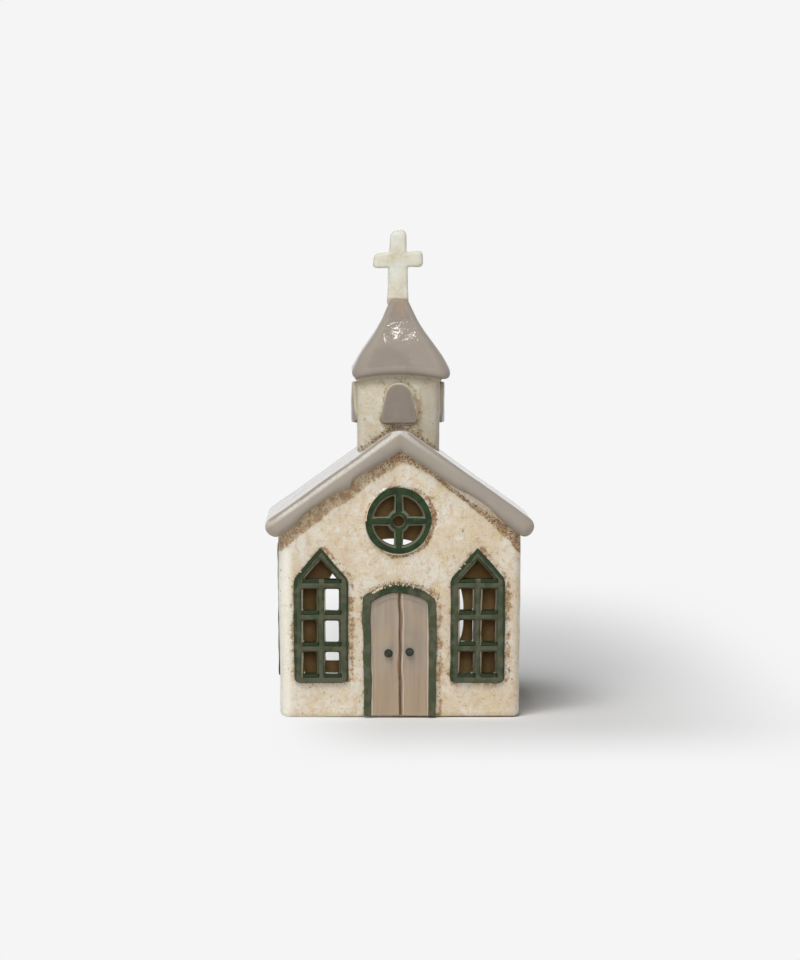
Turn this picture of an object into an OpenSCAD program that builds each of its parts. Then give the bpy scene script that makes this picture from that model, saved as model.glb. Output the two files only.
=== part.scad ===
// Small ceramic church that holds a tealight, slab-built from clay pieces.
// The door faces -Y, +X is to the right, and the middle of the foot is the origin.

/* [Walls] */
// Width over the side walls
body_w = 108; // [96:1:126]
// Depth over the gable walls
body_d = 86; // [70:1:110]
// Height of the side walls at their outer faces
eave_h = 81.3; // [74:0.1:95]
// Thickness of the wall slabs
wall_t = 5; // [4:0.5:7]
// Radius of the upright outer corners
corner_r = 4.5; // [3:0.5:6]
// Radius of the walls' outer edges at the foot
foot_r = 2; // [0.5:0.1:2.6]
// Thickness of the floor slab
floor_t = 5; // [3:0.5:8]
// Height of the floor's underside above the foot of the walls
foot_recess = 1.2; // [0.6:0.1:3]

/* [Roof] */
// Pitch of the roof in degrees
roof_pitch = 35.5; // [30:0.5:42]
// Thickness of the roof slabs
roof_t = 8.6; // [6:0.1:10]
// How far the eaves stand out from the side walls
eave_over = 6; // [3:0.5:12]
// How far the roof stands out from the gable walls
gable_over = 5; // [2:0.5:12]
// Radius of the roof slabs' front and back edges
roof_edge_r = 3; // [1:0.1:3]
// Radius of the slabs' corners at the eaves, seen square to the slab
roof_corner_r = 5; // [3:0.5:8]
// Radius of the ridge
ridge_r = 9.6; // [4:0.1:14]
// Bore of the vent from the room into the belfry
vent_d = 12; // [8:1:16]

/* [Belfry] */
// Width of the square tower
tower_w = 36.6; // [32:0.1:43]
// Thickness of the tower's walls
tower_t = 5; // [4:0.5:6]
// Radius of the tower's upright corners
tower_r = 3.6; // [1:0.1:4]
// Height of the tower above the ridge
tower_rise = 20.8; // [20:0.1:30]
// Height of the cornice
cornice_h = 2.6; // [2:0.1:6]
// How far the cornice stands out from the tower
cornice_out = 2.8; // [1:0.1:4]
// Height of the spire from its lip's underside
spire_h = 33.1; // [26:0.1:44]
// Width of the spire at its lip
spire_w = 44.2; // [44:0.1:56]
// Width of the spire at its top
spire_top_w = 11; // [10:0.1:14]
// Radius of the spire's lip
spire_lip_r = 2.4; // [1.5:0.1:3.5]
// Radius of the spire's corners in plan
spire_corner_r = 6; // [4:0.5:9]
// Thickness of the spire's clay, measured level
spire_t = 6.5; // [5:0.5:8]

/* [Cross] */
// Height of the cross above the spire
cross_h = 32.9; // [28:0.1:40]
// Width over its arms
cross_w = 22.3; // [18:0.1:28]
// Height of the arms' middle above the spire
cross_arm_z = 19.6; // [17:0.1:22]
// Height of an arm
cross_arm_b = 6.5; // [5:0.1:8]
// Width of the stem at its top
cross_stem_w = 7.5; // [6:0.1:8]
// Width of the stem just above its foot
cross_low_w = 8.4; // [7:0.1:9]
// Width of the foot
cross_foot_w = 10.2; // [9:0.1:11]
// Height of the foot's flare
cross_foot_h = 3.4; // [2:0.1:5]
// Thickness of the cross from front to back
cross_t = 6.6; // [5.6:0.1:7.5]
// Radius of its edges
cross_edge_r = 2.5; // [1.5:0.1:2.6]

/* [Bells] */
// Height of a bell
bell_h = 18.2; // [14:0.1:19]
// Width of a bell at its shoulder
bell_w = 12.1; // [9:0.1:14]
// Width of a bell at its lip
bell_lip_w = 17; // [14.2:0.1:19]
// Height of a bell's lip
bell_lip_h = 2.6; // [1.6:0.1:4]
// Height of the lip's outward sweep
bell_sweep_h = 4; // [2:0.1:6]
// How far a bell stands out from the tower in its middle
bell_proud = 2.7; // [1.5:0.1:4]
// Radius of a bell's bulging face
bell_face_r = 22; // [18:1:60]
// Gap between the top of a bell and the cornice
bell_drop = 0.3; // [0.3:0.1:1.8]

/* [Lancet windows] */
// Width of a lancet frame
lancet_w = 24.1; // [20:0.1:26]
// Height of a lancet frame
lancet_h = 60; // [50:0.1:64]
// Height of its pointed head
head_h = 13.9; // [10:0.1:18]
// Height of the front and side frames above the ground
lancet_z = 15.8; // [12:0.1:17]
// Distance of the front frames from the side walls' outer faces
lancet_side = 7.15; // [6:0.05:10]
// Radius of a frame's lower corners
lancet_r = 2.6; // [1:0.1:4]
// Width of a frame's upright bands
frame_b = 3.9; // [3.4:0.1:5]
// Width of a frame's bands along its pointed head
head_b = 3.3; // [3:0.1:4]
// Height of a frame's bottom rail
sill_b = 3.9; // [3.4:0.1:6]
// Width of the middle mullion
mullion_b = 3.7; // [2:0.1:5]
// Height of the rails between the panes
rail_b = 4.2; // [2:0.1:5]
// Radius of the panes' corners
pane_r = 1.2; // [0.5:0.1:2]
// Rows of panes under the pointed one
pane_rows = 3; // [2:1:4]

/* [Rose window] */
// Outer diameter of the rose window
rose_d = 29.9; // [24:0.1:32]
// Height of its middle above the ground
rose_z = 88.2; // [86:0.1:90]
// Width of its ring
rose_ring_b = 3.5; // [3:0.1:5]
// Outer diameter of its hub
hub_d = 9.4; // [8:0.1:12]
// Bore of its hub
hub_hole_d = 5.2; // [3:0.1:6]
// Width of its four spokes
spoke_b = 3.4; // [2:0.1:5]

/* [Frames in the walls] */
// How far the frames stand out from the walls
frame_proud = 1.8; // [1:0.1:3]
// How far a frame laps over the edge of its opening
frame_lap = 2; // [1:0.1:2.6]
// Clearance round what fits in an opening or a recess
fit_gap = 0.2; // [0.1:0.05:0.5]

/* [Door] */
// Width over the door's surround
door_w = 32.3; // [28:0.1:35]
// Height of the surround's crown above the ground
door_h = 59.2; // [52:0.1:64]
// Height of the door's lower edge above the ground
door_sill = 0.9; // [0.5:0.1:3]
// Radius of the surround's arch
door_arch_r = 24.7; // [22:0.1:60]
// Width of the surround
surround_b = 3.25; // [2.5:0.05:4]
// How far the surround stands out from the wall
surround_proud = 2.2; // [1:0.1:3]
// Depth of the recess that holds the leaves
door_recess = 1.6; // [1:0.1:2.5]
// Thickness of a door leaf
leaf_t = 2.8; // [1.5:0.1:3.5]
// Gap between the two leaves
leaf_gap = 0.9; // [0.5:0.1:2]
// Diameter of a knob
knob_d = 3.7; // [2.5:0.1:5]
// How far a knob's middle stands out from its leaf
knob_out = 0.9; // [0.4:0.1:1.2]
// Distance of a knob from the middle of the door
knob_x = 4.65; // [3.5:0.05:6]
// Height of the knobs above the ground
knob_z = 29.4; // [20:0.1:40]

/* [Back opening] */
// Width of the arched opening
arch_w = 65.6; // [56:0.1:74]
// Height of its crown above the ground
arch_top = 73.1; // [64:0.1:78]
// Height of its lower edge above the ground
arch_sill = 15.8; // [10:0.1:20]
// Radius of its lower corners
arch_corner_r = 6; // [2:0.5:10]

/* [Hidden] */
$fn = 72;
// Overrun of a cutting shape past the face that it cuts
over = 1;
// Facets round the small balls that shape the cross and the spire
ball_fn = 24;

cream = "#DDD2BC";
taupe = "#A59B94";
green = "#3D5A3F";
door_grey = "#AB9D90";
raw_brown = "#6B4F38";

// Underside and top of the roof at the ridge, as sharp edges
roof_low_apex = eave_h + body_w / 2 * tan(roof_pitch);
roof_top_apex = roof_low_apex + roof_t / cos(roof_pitch);
// Middle of the ridge's round, and its highest line
ridge_mid = roof_top_apex - ridge_r / cos(roof_pitch);
ridge_top = ridge_mid + ridge_r;
roof_d = body_d + 2 * gable_over;
// Middle of the rounded eave, along the slab from the sharp ridge
eave_mid = (body_w / 2 + eave_over - roof_t / 2 + roof_t / 2 * sin(roof_pitch)) / cos(roof_pitch);

tower_top = ridge_top + tower_rise;
tower_hole = tower_w - 2 * tower_t;
cornice_w = tower_w + 2 * cornice_out;
spire_base = tower_top + cornice_h;
spire_top = spire_base + spire_h;
bell_z = tower_top - bell_drop - bell_h;

head_angle = atan(head_h / (lancet_w / 2));
shoulder_h = lancet_h - head_h;
// Distance of the front frames' middles from the middle of the wall
lancet_x = body_w / 2 - lancet_side - lancet_w / 2;
pane_w = (lancet_w - 2 * frame_b - mullion_b) / 2;
pane_h = (shoulder_h - sill_b - pane_rows * rail_b) / pane_rows;
rose_hole_r = rose_d / 2 - frame_lap;

// Face of the door leaves
leaf_face = body_d / 2 - door_recess + leaf_t;

// Rectangle round the origin with round corners
module rounded_rect(w, d, r) {
    square([w - 2 * r, d], center = true);
    square([w, d - 2 * r], center = true);
    for (sx = [-1, 1], sy = [-1, 1])
        translate([sx * (w / 2 - r), sy * (d / 2 - r)]) circle(r);
}

// What rounding takes off a square corner at the origin, whose sides run to +x and +y
module corner_waste(r) {
    difference() {
        translate([-over, -over]) square(r + over);
        translate([r, r]) circle(r);
    }
}

// Stands a flat shape up on the front of the house: its faces are from and to ahead of the middle
module stand(from, to) {
    translate([0, -from, 0]) rotate([90, 0, 0]) linear_extrude(to - from) children();
}

// The space under the roof's underside, which the walls may fill
module below_roof() {
    reach = body_w / 2 + over;
    low = eave_h - over * tan(roof_pitch);
    polygon([[-reach, 0], [reach, 0], [reach, low], [0, roof_low_apex], [-reach, low]]);
}

// Plan of the walls, round outside and square inside
module wall_plan() {
    difference() {
        rounded_rect(body_w, body_d, corner_r);
        square([body_w - 2 * wall_t, body_d - 2 * wall_t], center = true);
    }
}

// The part of the plan that the wall at -y takes, cut off by mitres
module mitred_part(w, d) {
    polygon([
        [-w / 2 - over, -d / 2 - over], [w / 2 + over, -d / 2 - over],
        [w / 2 - wall_t, -d / 2 + wall_t], [-w / 2 + wall_t, -d / 2 + wall_t],
    ]);
}

// Outline of a lancet frame, drawn in by inset; its lower edge lies at inset
module lancet_outline(inset) {
    half = lancet_w / 2 - inset;
    apex = lancet_h - inset / cos(head_angle);
    shoulder = apex - half * tan(head_angle);
    r = max(lancet_r - inset, pane_r);
    difference() {
        polygon([[-half, inset], [half, inset], [half, shoulder], [0, apex], [-half, shoulder]]);
        for (s = [0, 1]) mirror([s, 0]) translate([-half, inset]) corner_waste(r);
    }
}

// The panes that are pierced through a lancet frame
module lancet_panes() {
    for (side = [-1, 1], row = [0 : pane_rows - 1])
        translate([side * (pane_w + mullion_b) / 2, sill_b + pane_h / 2 + row * (pane_h + rail_b)])
            rounded_rect(pane_w, pane_h, pane_r);
    apex = lancet_h - head_b / cos(head_angle);
    half = (apex - shoulder_h) / tan(head_angle);
    polygon([[-half, shoulder_h], [half, shoulder_h], [0, apex]]);
}

// A lancet frame on a wall whose outer face is at face: a lapping front and a body in the opening
module lancet_frame(face) {
    difference() {
        union() {
            stand(face, face + frame_proud) lancet_outline(0);
            stand(face - wall_t, face + frame_proud) lancet_outline(frame_lap + fit_gap);
        }
        stand(face - wall_t - over, face + frame_proud + over) lancet_panes();
    }
}

// The four panes and the bore of the rose window
module rose_panes() {
    difference() {
        circle(rose_d / 2 - rose_ring_b);
        circle(hub_d / 2);
        square([rose_d, spoke_b], center = true);
        square([spoke_b, rose_d], center = true);
    }
    circle(hub_hole_d / 2);
}

// Outline of the door, drawn in by inset, with a flat arch on top
module door_outline(inset) {
    half = door_w / 2 - inset;
    intersection() {
        translate([-half, door_sill]) square([2 * half, door_h - door_sill]);
        translate([0, door_h - door_arch_r]) union() {
            circle(door_arch_r - inset);
            translate([-door_w, -door_h]) square([2 * door_w, door_h]);
        }
    }
}

// Outline of the back opening: straight jambs under a round arch
module arch_outline() {
    r = arch_w / 2;
    springing = arch_top - r;
    intersection() {
        translate([0, springing]) circle(r);
        translate([-r, springing]) square(2 * r);
    }
    difference() {
        translate([-r, arch_sill]) square([arch_w, springing - arch_sill]);
        for (s = [0, 1]) mirror([s, 0]) translate([-r, arch_sill]) corner_waste(arch_corner_r);
    }
}

module floor_slab() {
    color(raw_brown) translate([0, 0, foot_recess]) linear_extrude(floor_t)
        square([body_w - 2 * wall_t, body_d - 2 * wall_t], center = true);
}

// What rounding takes off the outer edge of the foot along the wall at -y
module foot_waste(w, d) {
    translate([0, -d / 2, 0]) rotate([90, 0, 90]) linear_extrude(w, center = true)
        corner_waste(foot_r);
}

// A gable wall at -y with no openings
module gable_wall() {
    difference() {
        intersection() {
            linear_extrude(roof_low_apex) intersection() {
                wall_plan();
                mitred_part(body_w, body_d);
            }
            stand(0, body_d) below_roof();
        }
        foot_waste(body_w, body_d);
    }
}

module front_wall() {
    color(cream) difference() {
        gable_wall();
        stand(body_d / 2 - wall_t - over, body_d / 2 + over) {
            for (side = [-1, 1]) translate([side * lancet_x, lancet_z]) lancet_outline(frame_lap);
            translate([0, rose_z]) circle(rose_hole_r);
        }
        stand(body_d / 2 - door_recess, body_d / 2 + over) door_outline(surround_b);
    }
}

module back_wall() {
    color(cream) rotate([0, 0, 180]) difference() {
        gable_wall();
        stand(body_d / 2 - wall_t - over, body_d / 2 + over) arch_outline();
    }
}

// The right side wall, with its opening
module side_wall() {
    color(cream) difference() {
        intersection() {
            linear_extrude(roof_low_apex) intersection() {
                wall_plan();
                rotate([0, 0, 90]) mitred_part(body_d, body_w);
            }
            stand(-body_d, body_d) below_roof();
        }
        rotate([0, 0, 90]) foot_waste(body_d, body_w);
        rotate([0, 0, 90]) stand(body_w / 2 - wall_t - over, body_w / 2 + over)
            translate([0, lancet_z]) lancet_outline(frame_lap);
    }
}

module left_wall() {
    mirror([1, 0, 0]) side_wall();
}

module right_wall() {
    side_wall();
}

// The right roof slab before its ridge is cut, lying level with its top at zero
module level_slab() {
    long = eave_mid + roof_t / 2;
    intersection() {
        rotate([90, 0, 0]) linear_extrude(roof_d, center = true) {
            translate([-long, -roof_t]) square([long + eave_mid, roof_t]);
            translate([eave_mid, -roof_t / 2]) circle(roof_t / 2);
        }
        rotate([90, 0, 90]) linear_extrude(4 * long, center = true)
            translate([0, -roof_t / 2]) rounded_rect(roof_d, roof_t, roof_edge_r);
        translate([0, 0, -roof_t - over]) linear_extrude(roof_t + 2 * over)
            rounded_rect(2 * long, roof_d, roof_corner_r);
    }
}

// Profile of what rounding takes off the sharp ridge
module ridge_waste() {
    half = ridge_r * sin(roof_pitch);
    low = ridge_mid + ridge_r * cos(roof_pitch);
    difference() {
        translate([-half, low]) square([2 * half, roof_top_apex - low + over]);
        translate([0, ridge_mid]) circle(ridge_r);
    }
}

// The right roof slab without the vent
module whole_slab() {
    reach = body_w + eave_over;
    difference() {
        translate([0, 0, roof_top_apex]) rotate([0, roof_pitch, 0]) level_slab();
        translate([-reach, -roof_d, 0]) cube([reach, 2 * roof_d, 2 * roof_top_apex]);
        rotate([90, 0, 0]) linear_extrude(roof_d + 2 * over, center = true) ridge_waste();
    }
}

module roof_right() {
    color(taupe) difference() {
        whole_slab();
        translate([0, 0, ridge_top - 2 * roof_t]) cylinder(h = 3 * roof_t, d = vent_d);
    }
}

module roof_left() {
    mirror([1, 0, 0]) roof_right();
}

// The square tower, cut below to sit astride the roof
module belfry_tower() {
    low = ridge_top - tower_w;
    color(cream) difference() {
        translate([0, 0, low]) linear_extrude(tower_top - low) difference() {
            rounded_rect(tower_w, tower_w, tower_r);
            square(tower_hole, center = true);
        }
        rotate([90, 0, 0]) linear_extrude(2 * tower_w, center = true) roof_saddle();
    }
}

// Everything under the roof's top, as far out as the tower reaches
module roof_saddle() {
    difference() {
        polygon([
            [-tower_w, roof_top_apex - tower_w * tan(roof_pitch)], [0, roof_top_apex],
            [tower_w, roof_top_apex - tower_w * tan(roof_pitch)],
            [tower_w, 0], [-tower_w, 0],
        ]);
        ridge_waste();
    }
}

// Profile of the cornice: a cove that widens from the tower to the spire
module cornice_profile() {
    difference() {
        translate([-cornice_w / 2, 0]) square([cornice_w, cornice_h]);
        for (s = [-1, 1]) translate([s * cornice_w / 2, 0]) circle(min(cornice_out, cornice_h));
    }
}

module belfry_cornice() {
    color(cream) translate([0, 0, tower_top]) difference() {
        intersection() {
            rotate([90, 0, 0]) linear_extrude(cornice_w, center = true) cornice_profile();
            rotate([90, 0, 90]) linear_extrude(cornice_w, center = true) cornice_profile();
            linear_extrude(cornice_h) rounded_rect(cornice_w, cornice_w, tower_r + cornice_out);
        }
        translate([0, 0, -over]) linear_extrude(cornice_h + 2 * over)
            square(tower_hole, center = true);
    }
}

// The hollow spire: rounded corners and lip, straight sides, and a flat top for the cross
module spire() {
    lip_at = spire_w / 2 - spire_corner_r;
    tip_at = spire_top_w / 2 - spire_lip_r;
    hollow_h = spire_h * (spire_w / 2 - spire_t) / (spire_w / 2);
    color(taupe) translate([0, 0, spire_base]) difference() {
        hull() {
            for (sx = [-1, 1], sy = [-1, 1]) {
                translate([sx * lip_at, sy * lip_at, spire_lip_r])
                    rotate_extrude($fn = ball_fn)
                        translate([spire_corner_r - spire_lip_r, 0]) circle(spire_lip_r, $fn = ball_fn);
                translate([sx * tip_at, sy * tip_at, spire_h - spire_lip_r])
                    cylinder(h = spire_lip_r, r = spire_lip_r, $fn = ball_fn);
            }
        }
        translate([0, 0, -over]) linear_extrude(over + spire_lip_r) square(tower_hole, center = true);
        translate([0, 0, spire_lip_r]) rotate([0, 0, 45])
            cylinder(h = hollow_h - spire_lip_r, r1 = tower_hole / sqrt(2), r2 = spire_lip_r, $fn = 4);
    }
}

// A bar between two levels whose width changes, with rounded edges
module soft_bar(low, low_w, high, high_w, thick) {
    deep = thick / 2 - cross_edge_r;
    hull() for (s = [-1, 1], side = [-1, 1]) {
        translate([s * (low_w / 2 - cross_edge_r), side * deep, low])
            sphere(cross_edge_r, $fn = ball_fn);
        translate([s * (high_w / 2 - cross_edge_r), side * deep, high])
            sphere(cross_edge_r, $fn = ball_fn);
    }
}

module cross() {
    arm_half = cross_arm_b / 2 - cross_edge_r;
    color(cream) translate([0, 0, spire_top]) intersection() {
        union() {
            soft_bar(0, cross_low_w, cross_h - cross_edge_r, cross_stem_w, cross_t);
            soft_bar(cross_arm_z - arm_half, cross_w, cross_arm_z + arm_half, cross_w, cross_t);
            soft_bar(0, cross_foot_w, cross_foot_h, cross_low_w, cross_t);
        }
        translate([-cross_w, -cross_w, 0]) cube([2 * cross_w, 2 * cross_w, cross_h]);
    }
}

// Outline of a bell, standing on its lip at zero
module bell_outline() {
    r = bell_w / 2;
    waist = (bell_w + bell_lip_w) / 4;
    lip = bell_lip_w / 2;
    translate([0, bell_h - r]) circle(r);
    polygon([
        [-r, bell_h - r], [-waist, bell_lip_h + bell_sweep_h / 2], [-lip, bell_lip_h / 2],
        [-lip + bell_lip_h / 2, 0], [lip - bell_lip_h / 2, 0],
        [lip, bell_lip_h / 2], [waist, bell_lip_h + bell_sweep_h / 2], [r, bell_h - r],
    ]);
}

// A bell on the front face of the tower, with a bulging face
module bell() {
    face = tower_w / 2;
    color(taupe) translate([0, 0, bell_z]) intersection() {
        stand(face, face + bell_proud) bell_outline();
        translate([0, bell_face_r - face - bell_proud, 0]) cylinder(h = bell_h, r = bell_face_r);
    }
}

module bell_front() {
    bell();
}

module bell_back() {
    rotate([0, 0, 180]) bell();
}

module bell_left() {
    rotate([0, 0, -90]) bell();
}

module bell_right() {
    rotate([0, 0, 90]) bell();
}

module rose_window() {
    face = body_d / 2;
    color(green) translate([0, 0, rose_z]) difference() {
        union() {
            stand(face, face + frame_proud) circle(rose_d / 2);
            stand(face - wall_t, face + frame_proud) circle(rose_hole_r - fit_gap);
        }
        stand(face - wall_t - over, face + frame_proud + over) rose_panes();
    }
}

module window_front_left() {
    color(green) translate([-lancet_x, 0, lancet_z]) lancet_frame(body_d / 2);
}

module window_front_right() {
    color(green) translate([lancet_x, 0, lancet_z]) lancet_frame(body_d / 2);
}

module window_left_side() {
    color(green) translate([0, 0, lancet_z]) rotate([0, 0, -90]) lancet_frame(body_w / 2);
}

module window_right_side() {
    color(green) translate([0, 0, lancet_z]) rotate([0, 0, 90]) lancet_frame(body_w / 2);
}

module door_surround() {
    face = body_d / 2;
    color(green) stand(face, face + surround_proud) difference() {
        door_outline(0);
        door_outline(surround_b);
        translate([-door_w / 2 + surround_b, door_sill - over])
            square([door_w - 2 * surround_b, 2 * over]);
    }
}

// The right door leaf, in the recess
module door_leaf() {
    color(door_grey) stand(body_d / 2 - door_recess, leaf_face) intersection() {
        door_outline(surround_b + fit_gap);
        translate([leaf_gap / 2, 0]) square([door_w, door_h]);
    }
}

module door_leaf_left() {
    mirror([1, 0, 0]) door_leaf();
}

module door_leaf_right() {
    door_leaf();
}

// The right knob, a ball that is turned on the face of its leaf, which cuts it off behind
module door_knob() {
    color(green) translate([knob_x, -leaf_face, knob_z]) rotate([90, 0, 0]) rotate_extrude()
        intersection() {
            translate([0, knob_out]) circle(d = knob_d);
            square(2 * knob_d);
        }
}

module door_knob_left() {
    mirror([1, 0, 0]) door_knob();
}

module door_knob_right() {
    door_knob();
}

floor_slab();
front_wall();
back_wall();
left_wall();
right_wall();
roof_left();
roof_right();
belfry_tower();
belfry_cornice();
spire();
cross();
bell_front();
bell_back();
bell_left();
bell_right();
rose_window();
window_front_left();
window_front_right();
window_left_side();
window_right_side();
door_surround();
door_leaf_left();
door_leaf_right();
door_knob_left();
door_knob_right();
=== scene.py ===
"""A small glazed stoneware church that holds a tealight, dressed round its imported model.

The door faces -Y, +X is to the right, Z is up from the table, and every length is in metres.
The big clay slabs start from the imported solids. The rest is modelled here from primitives.
"""

import math

import bpy
import numpy as np
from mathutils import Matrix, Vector
from mathutils.bvhtree import BVHTree
from mathutils.kdtree import KDTree


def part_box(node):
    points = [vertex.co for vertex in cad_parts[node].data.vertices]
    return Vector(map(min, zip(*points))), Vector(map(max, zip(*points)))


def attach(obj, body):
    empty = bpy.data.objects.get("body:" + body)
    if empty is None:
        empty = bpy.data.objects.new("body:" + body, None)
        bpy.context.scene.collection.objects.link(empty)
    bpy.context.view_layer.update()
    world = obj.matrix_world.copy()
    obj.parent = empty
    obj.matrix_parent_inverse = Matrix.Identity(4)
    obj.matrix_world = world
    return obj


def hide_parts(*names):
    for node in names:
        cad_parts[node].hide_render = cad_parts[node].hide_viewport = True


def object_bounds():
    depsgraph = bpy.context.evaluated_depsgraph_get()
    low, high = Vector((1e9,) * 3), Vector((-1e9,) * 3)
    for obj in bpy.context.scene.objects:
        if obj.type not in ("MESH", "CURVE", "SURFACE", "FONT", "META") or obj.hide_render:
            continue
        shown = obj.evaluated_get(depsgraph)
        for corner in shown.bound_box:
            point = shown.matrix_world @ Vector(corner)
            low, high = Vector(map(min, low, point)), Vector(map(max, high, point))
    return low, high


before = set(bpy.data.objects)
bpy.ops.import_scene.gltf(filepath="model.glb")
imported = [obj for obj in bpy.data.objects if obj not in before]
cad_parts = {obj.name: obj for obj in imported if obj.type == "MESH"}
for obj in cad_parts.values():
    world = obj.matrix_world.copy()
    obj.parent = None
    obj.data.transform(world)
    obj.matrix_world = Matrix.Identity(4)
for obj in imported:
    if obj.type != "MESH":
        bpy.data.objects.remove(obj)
cad_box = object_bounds()

MM = 0.001
TINY = 0.01 * MM
UPRIGHT = (math.radians(90), 0, 0)

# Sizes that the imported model's clay slabs give
BODY_W, BODY_D, WALL_T = 108 * MM, 86 * MM, 5 * MM
EAVE_H, ROOF_PITCH = 81.3 * MM, math.radians(35.5)
UNDER_RIDGE = EAVE_H + BODY_W / 2 * math.tan(ROOF_PITCH)
RIDGE_TOP, ROOF_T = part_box("roof_left")[1].z, 8.6 * MM
FACE = -BODY_D / 2
TOWER_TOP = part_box("belfry_tower")[1].z
SPIRE_BASE, SPIRE_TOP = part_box("spire")[0].z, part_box("spire")[1].z
SPIRE_W = 44.2 * MM

# How far pieces reach into each other where they are luted, and how the walls end at the table
INTO, WALL_INTO = 1.6 * MM, 4.8 * MM
FOOT_NARROWER, FOOT_SOFT = 0.012, 2 * MM

# Belfry, spire and cross
CORNER_DROOP, MIDDLE_LIFT = 2.6 * MM, 0.9 * MM
CORNICE_IN, CORNICE_OUT = 18.4 * MM, SPIRE_W / 2 - 1.8 * MM
CORNICE_STAIN, CORNICE_GREY = 0.35, 0.65
PILLOW_SIDE, PILLOW_FRONT = 0.25 * MM, 0.8 * MM
SPIRE_NECK, NECK_SHARE_IN_DEPTH, SPIRE_LEAN = 0.16, 0.2, 1.1 * MM
ARM_DOWN, ARM_H, ARM_SPAN, STEM_W, STEM_D = 13.4 * MM, 6.3 * MM, 22.4 * MM, 8.3 * MM, 6.6 * MM

# Across the gable, how far the roof's lower edge hangs below its packed place. Runs end abruptly
ROOF_EDGE = (
    [-50, -46.5, -42.5, -39, -35.4, -31.9, -28.3, -24.8, -22.2, -21.4, -17.6, -14.1, -10.5, -7, -3.4, 0,
     3.7, 7.2, 10.8, 14.4, 17.9, 21.5, 25, 28.6, 32.1, 35.7, 39.2, 42.8, 46.4, 50],
    [0.3, 0.2, -1.5, -1.9, -1.5, -1.5, -0.8, 0.75, 1.4, -0.9, -1.7, -0.6, -0.3, 0.2, 1.0, 1.6,
     0.3, -0.3, -0.6, -0.2, -0.5, -0.5, -0.7, -1.9, -2.4, -2.8, -2.8, -1.3, -0.2, 0],
)
BOARD_ROUND = 1.1 * MM

# The way in at the back: its middle, the radius of its arch, its sill and the radii of its lower corners
BACK_X, BACK_Z, BACK_R, BACK_SILL = -1.35 * MM, 41.4 * MM, 32.95 * MM, 17.2 * MM
BACK_CORNERS = (1.2 * MM, 17 * MM)

# Windows: _B is a bar's width, and a reveal is the step round a pane
LANCET_W, LANCET_H, HEAD_H = 24.1 * MM, 60 * MM, 13.9 * MM
LANCET_X, LANCET_Z, LEFT_SLIP = 34.8 * MM, 15.8 * MM, 0.5 * MM
HEAD_SLOPE = math.atan2(HEAD_H, LANCET_W / 2)
FRAME_B, HEAD_B, SILL_B, MULLION_B, RAIL_B = 3.9 * MM, 3.3 * MM, 3.9 * MM, 3.7 * MM, 4.2 * MM
PANE_H = (LANCET_H - HEAD_H - SILL_B - 3 * RAIL_B) / 3
ROW_FEET = [SILL_B + row * (PANE_H + RAIL_B) for row in range(3)]
PANE_FEET = LANCET_Z + np.array(ROW_FEET + [LANCET_H - HEAD_H])
FRAME_PROUD, SIDE_SUNK, LAP_IN = 1.8 * MM, 1.2 * MM, 0.7 * MM
BODY_INSET, BODY_END = 2.2 * MM, WALL_T - 0.1 * MM
REVEAL, REVEAL_TOP, REVEAL_SILL, REVEAL_DEEP = 0.8 * MM, 0.5 * MM, 1.7 * MM, 1.1 * MM
FOOT_ROUND, SHOULDER_ROUND = 2.7 * MM, 2.2 * MM
ROSE_D, ROSE_Z, ROSE_RING_B = 29.9 * MM, 88.2 * MM, 3.5 * MM
ROSE_MOVE, ROSE_NARROWER = (-0.55 * MM, 0, -0.35 * MM), 0.97
HUB_D, HUB_BORE, SPOKE_B, ROSE_STEP = 10.4 * MM, 5.2 * MM, 3.7 * MM, 0.75 * MM
SPOKE_FLARE = 1.12

# Door
DOOR_W, DOOR_H, DOOR_SILL, DOOR_ARCH_R = 32.3 * MM, 59.2 * MM, 0.9 * MM, 24.7 * MM
DOOR_SPRING = DOOR_H - DOOR_ARCH_R
SURROUND_B, SURROUND_PROUD = 3.25 * MM, 2.2 * MM
DOOR_RECESS, LEAF_T, LEAF_GAP = 1.6 * MM, 2.8 * MM, 0.35 * MM
LEAF_FRONT, LEAF_EDGE = DOOR_RECESS - LEAF_T, DOOR_W / 2 - SURROUND_B - 0.5 * MM
KNOB_D, KNOB_OUT = 3.7 * MM, 0.9 * MM
KNOB_SPOTS = {-1: (-5.1 * MM, 28.9 * MM), 1: (4.4 * MM, 29.45 * MM)}

# Across the gable, in millimetres, where the band under the eaves begins and ends below the roof. It is brown
# stain, and where it hangs deeper on the left it is also a painted shadow of the left roof board
EAVES_STAIN_AND_SHADOW_ENDS = (
    [-54, -40, -28, -20, -8, 0, 6, 12, 20, 30, 40, 47, 54],
    [-6, -6, -6, -6, -6, -6, -1.2, -0.4, 0.2, 0.6, 0.4, 0.2, -2],
    [6.5, 6.0, 5.2, 5.8, 5.2, 6.0, 2.6, 1.6, 1.8, 2.6, 3.4, 4.8, 7.0],
)

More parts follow.
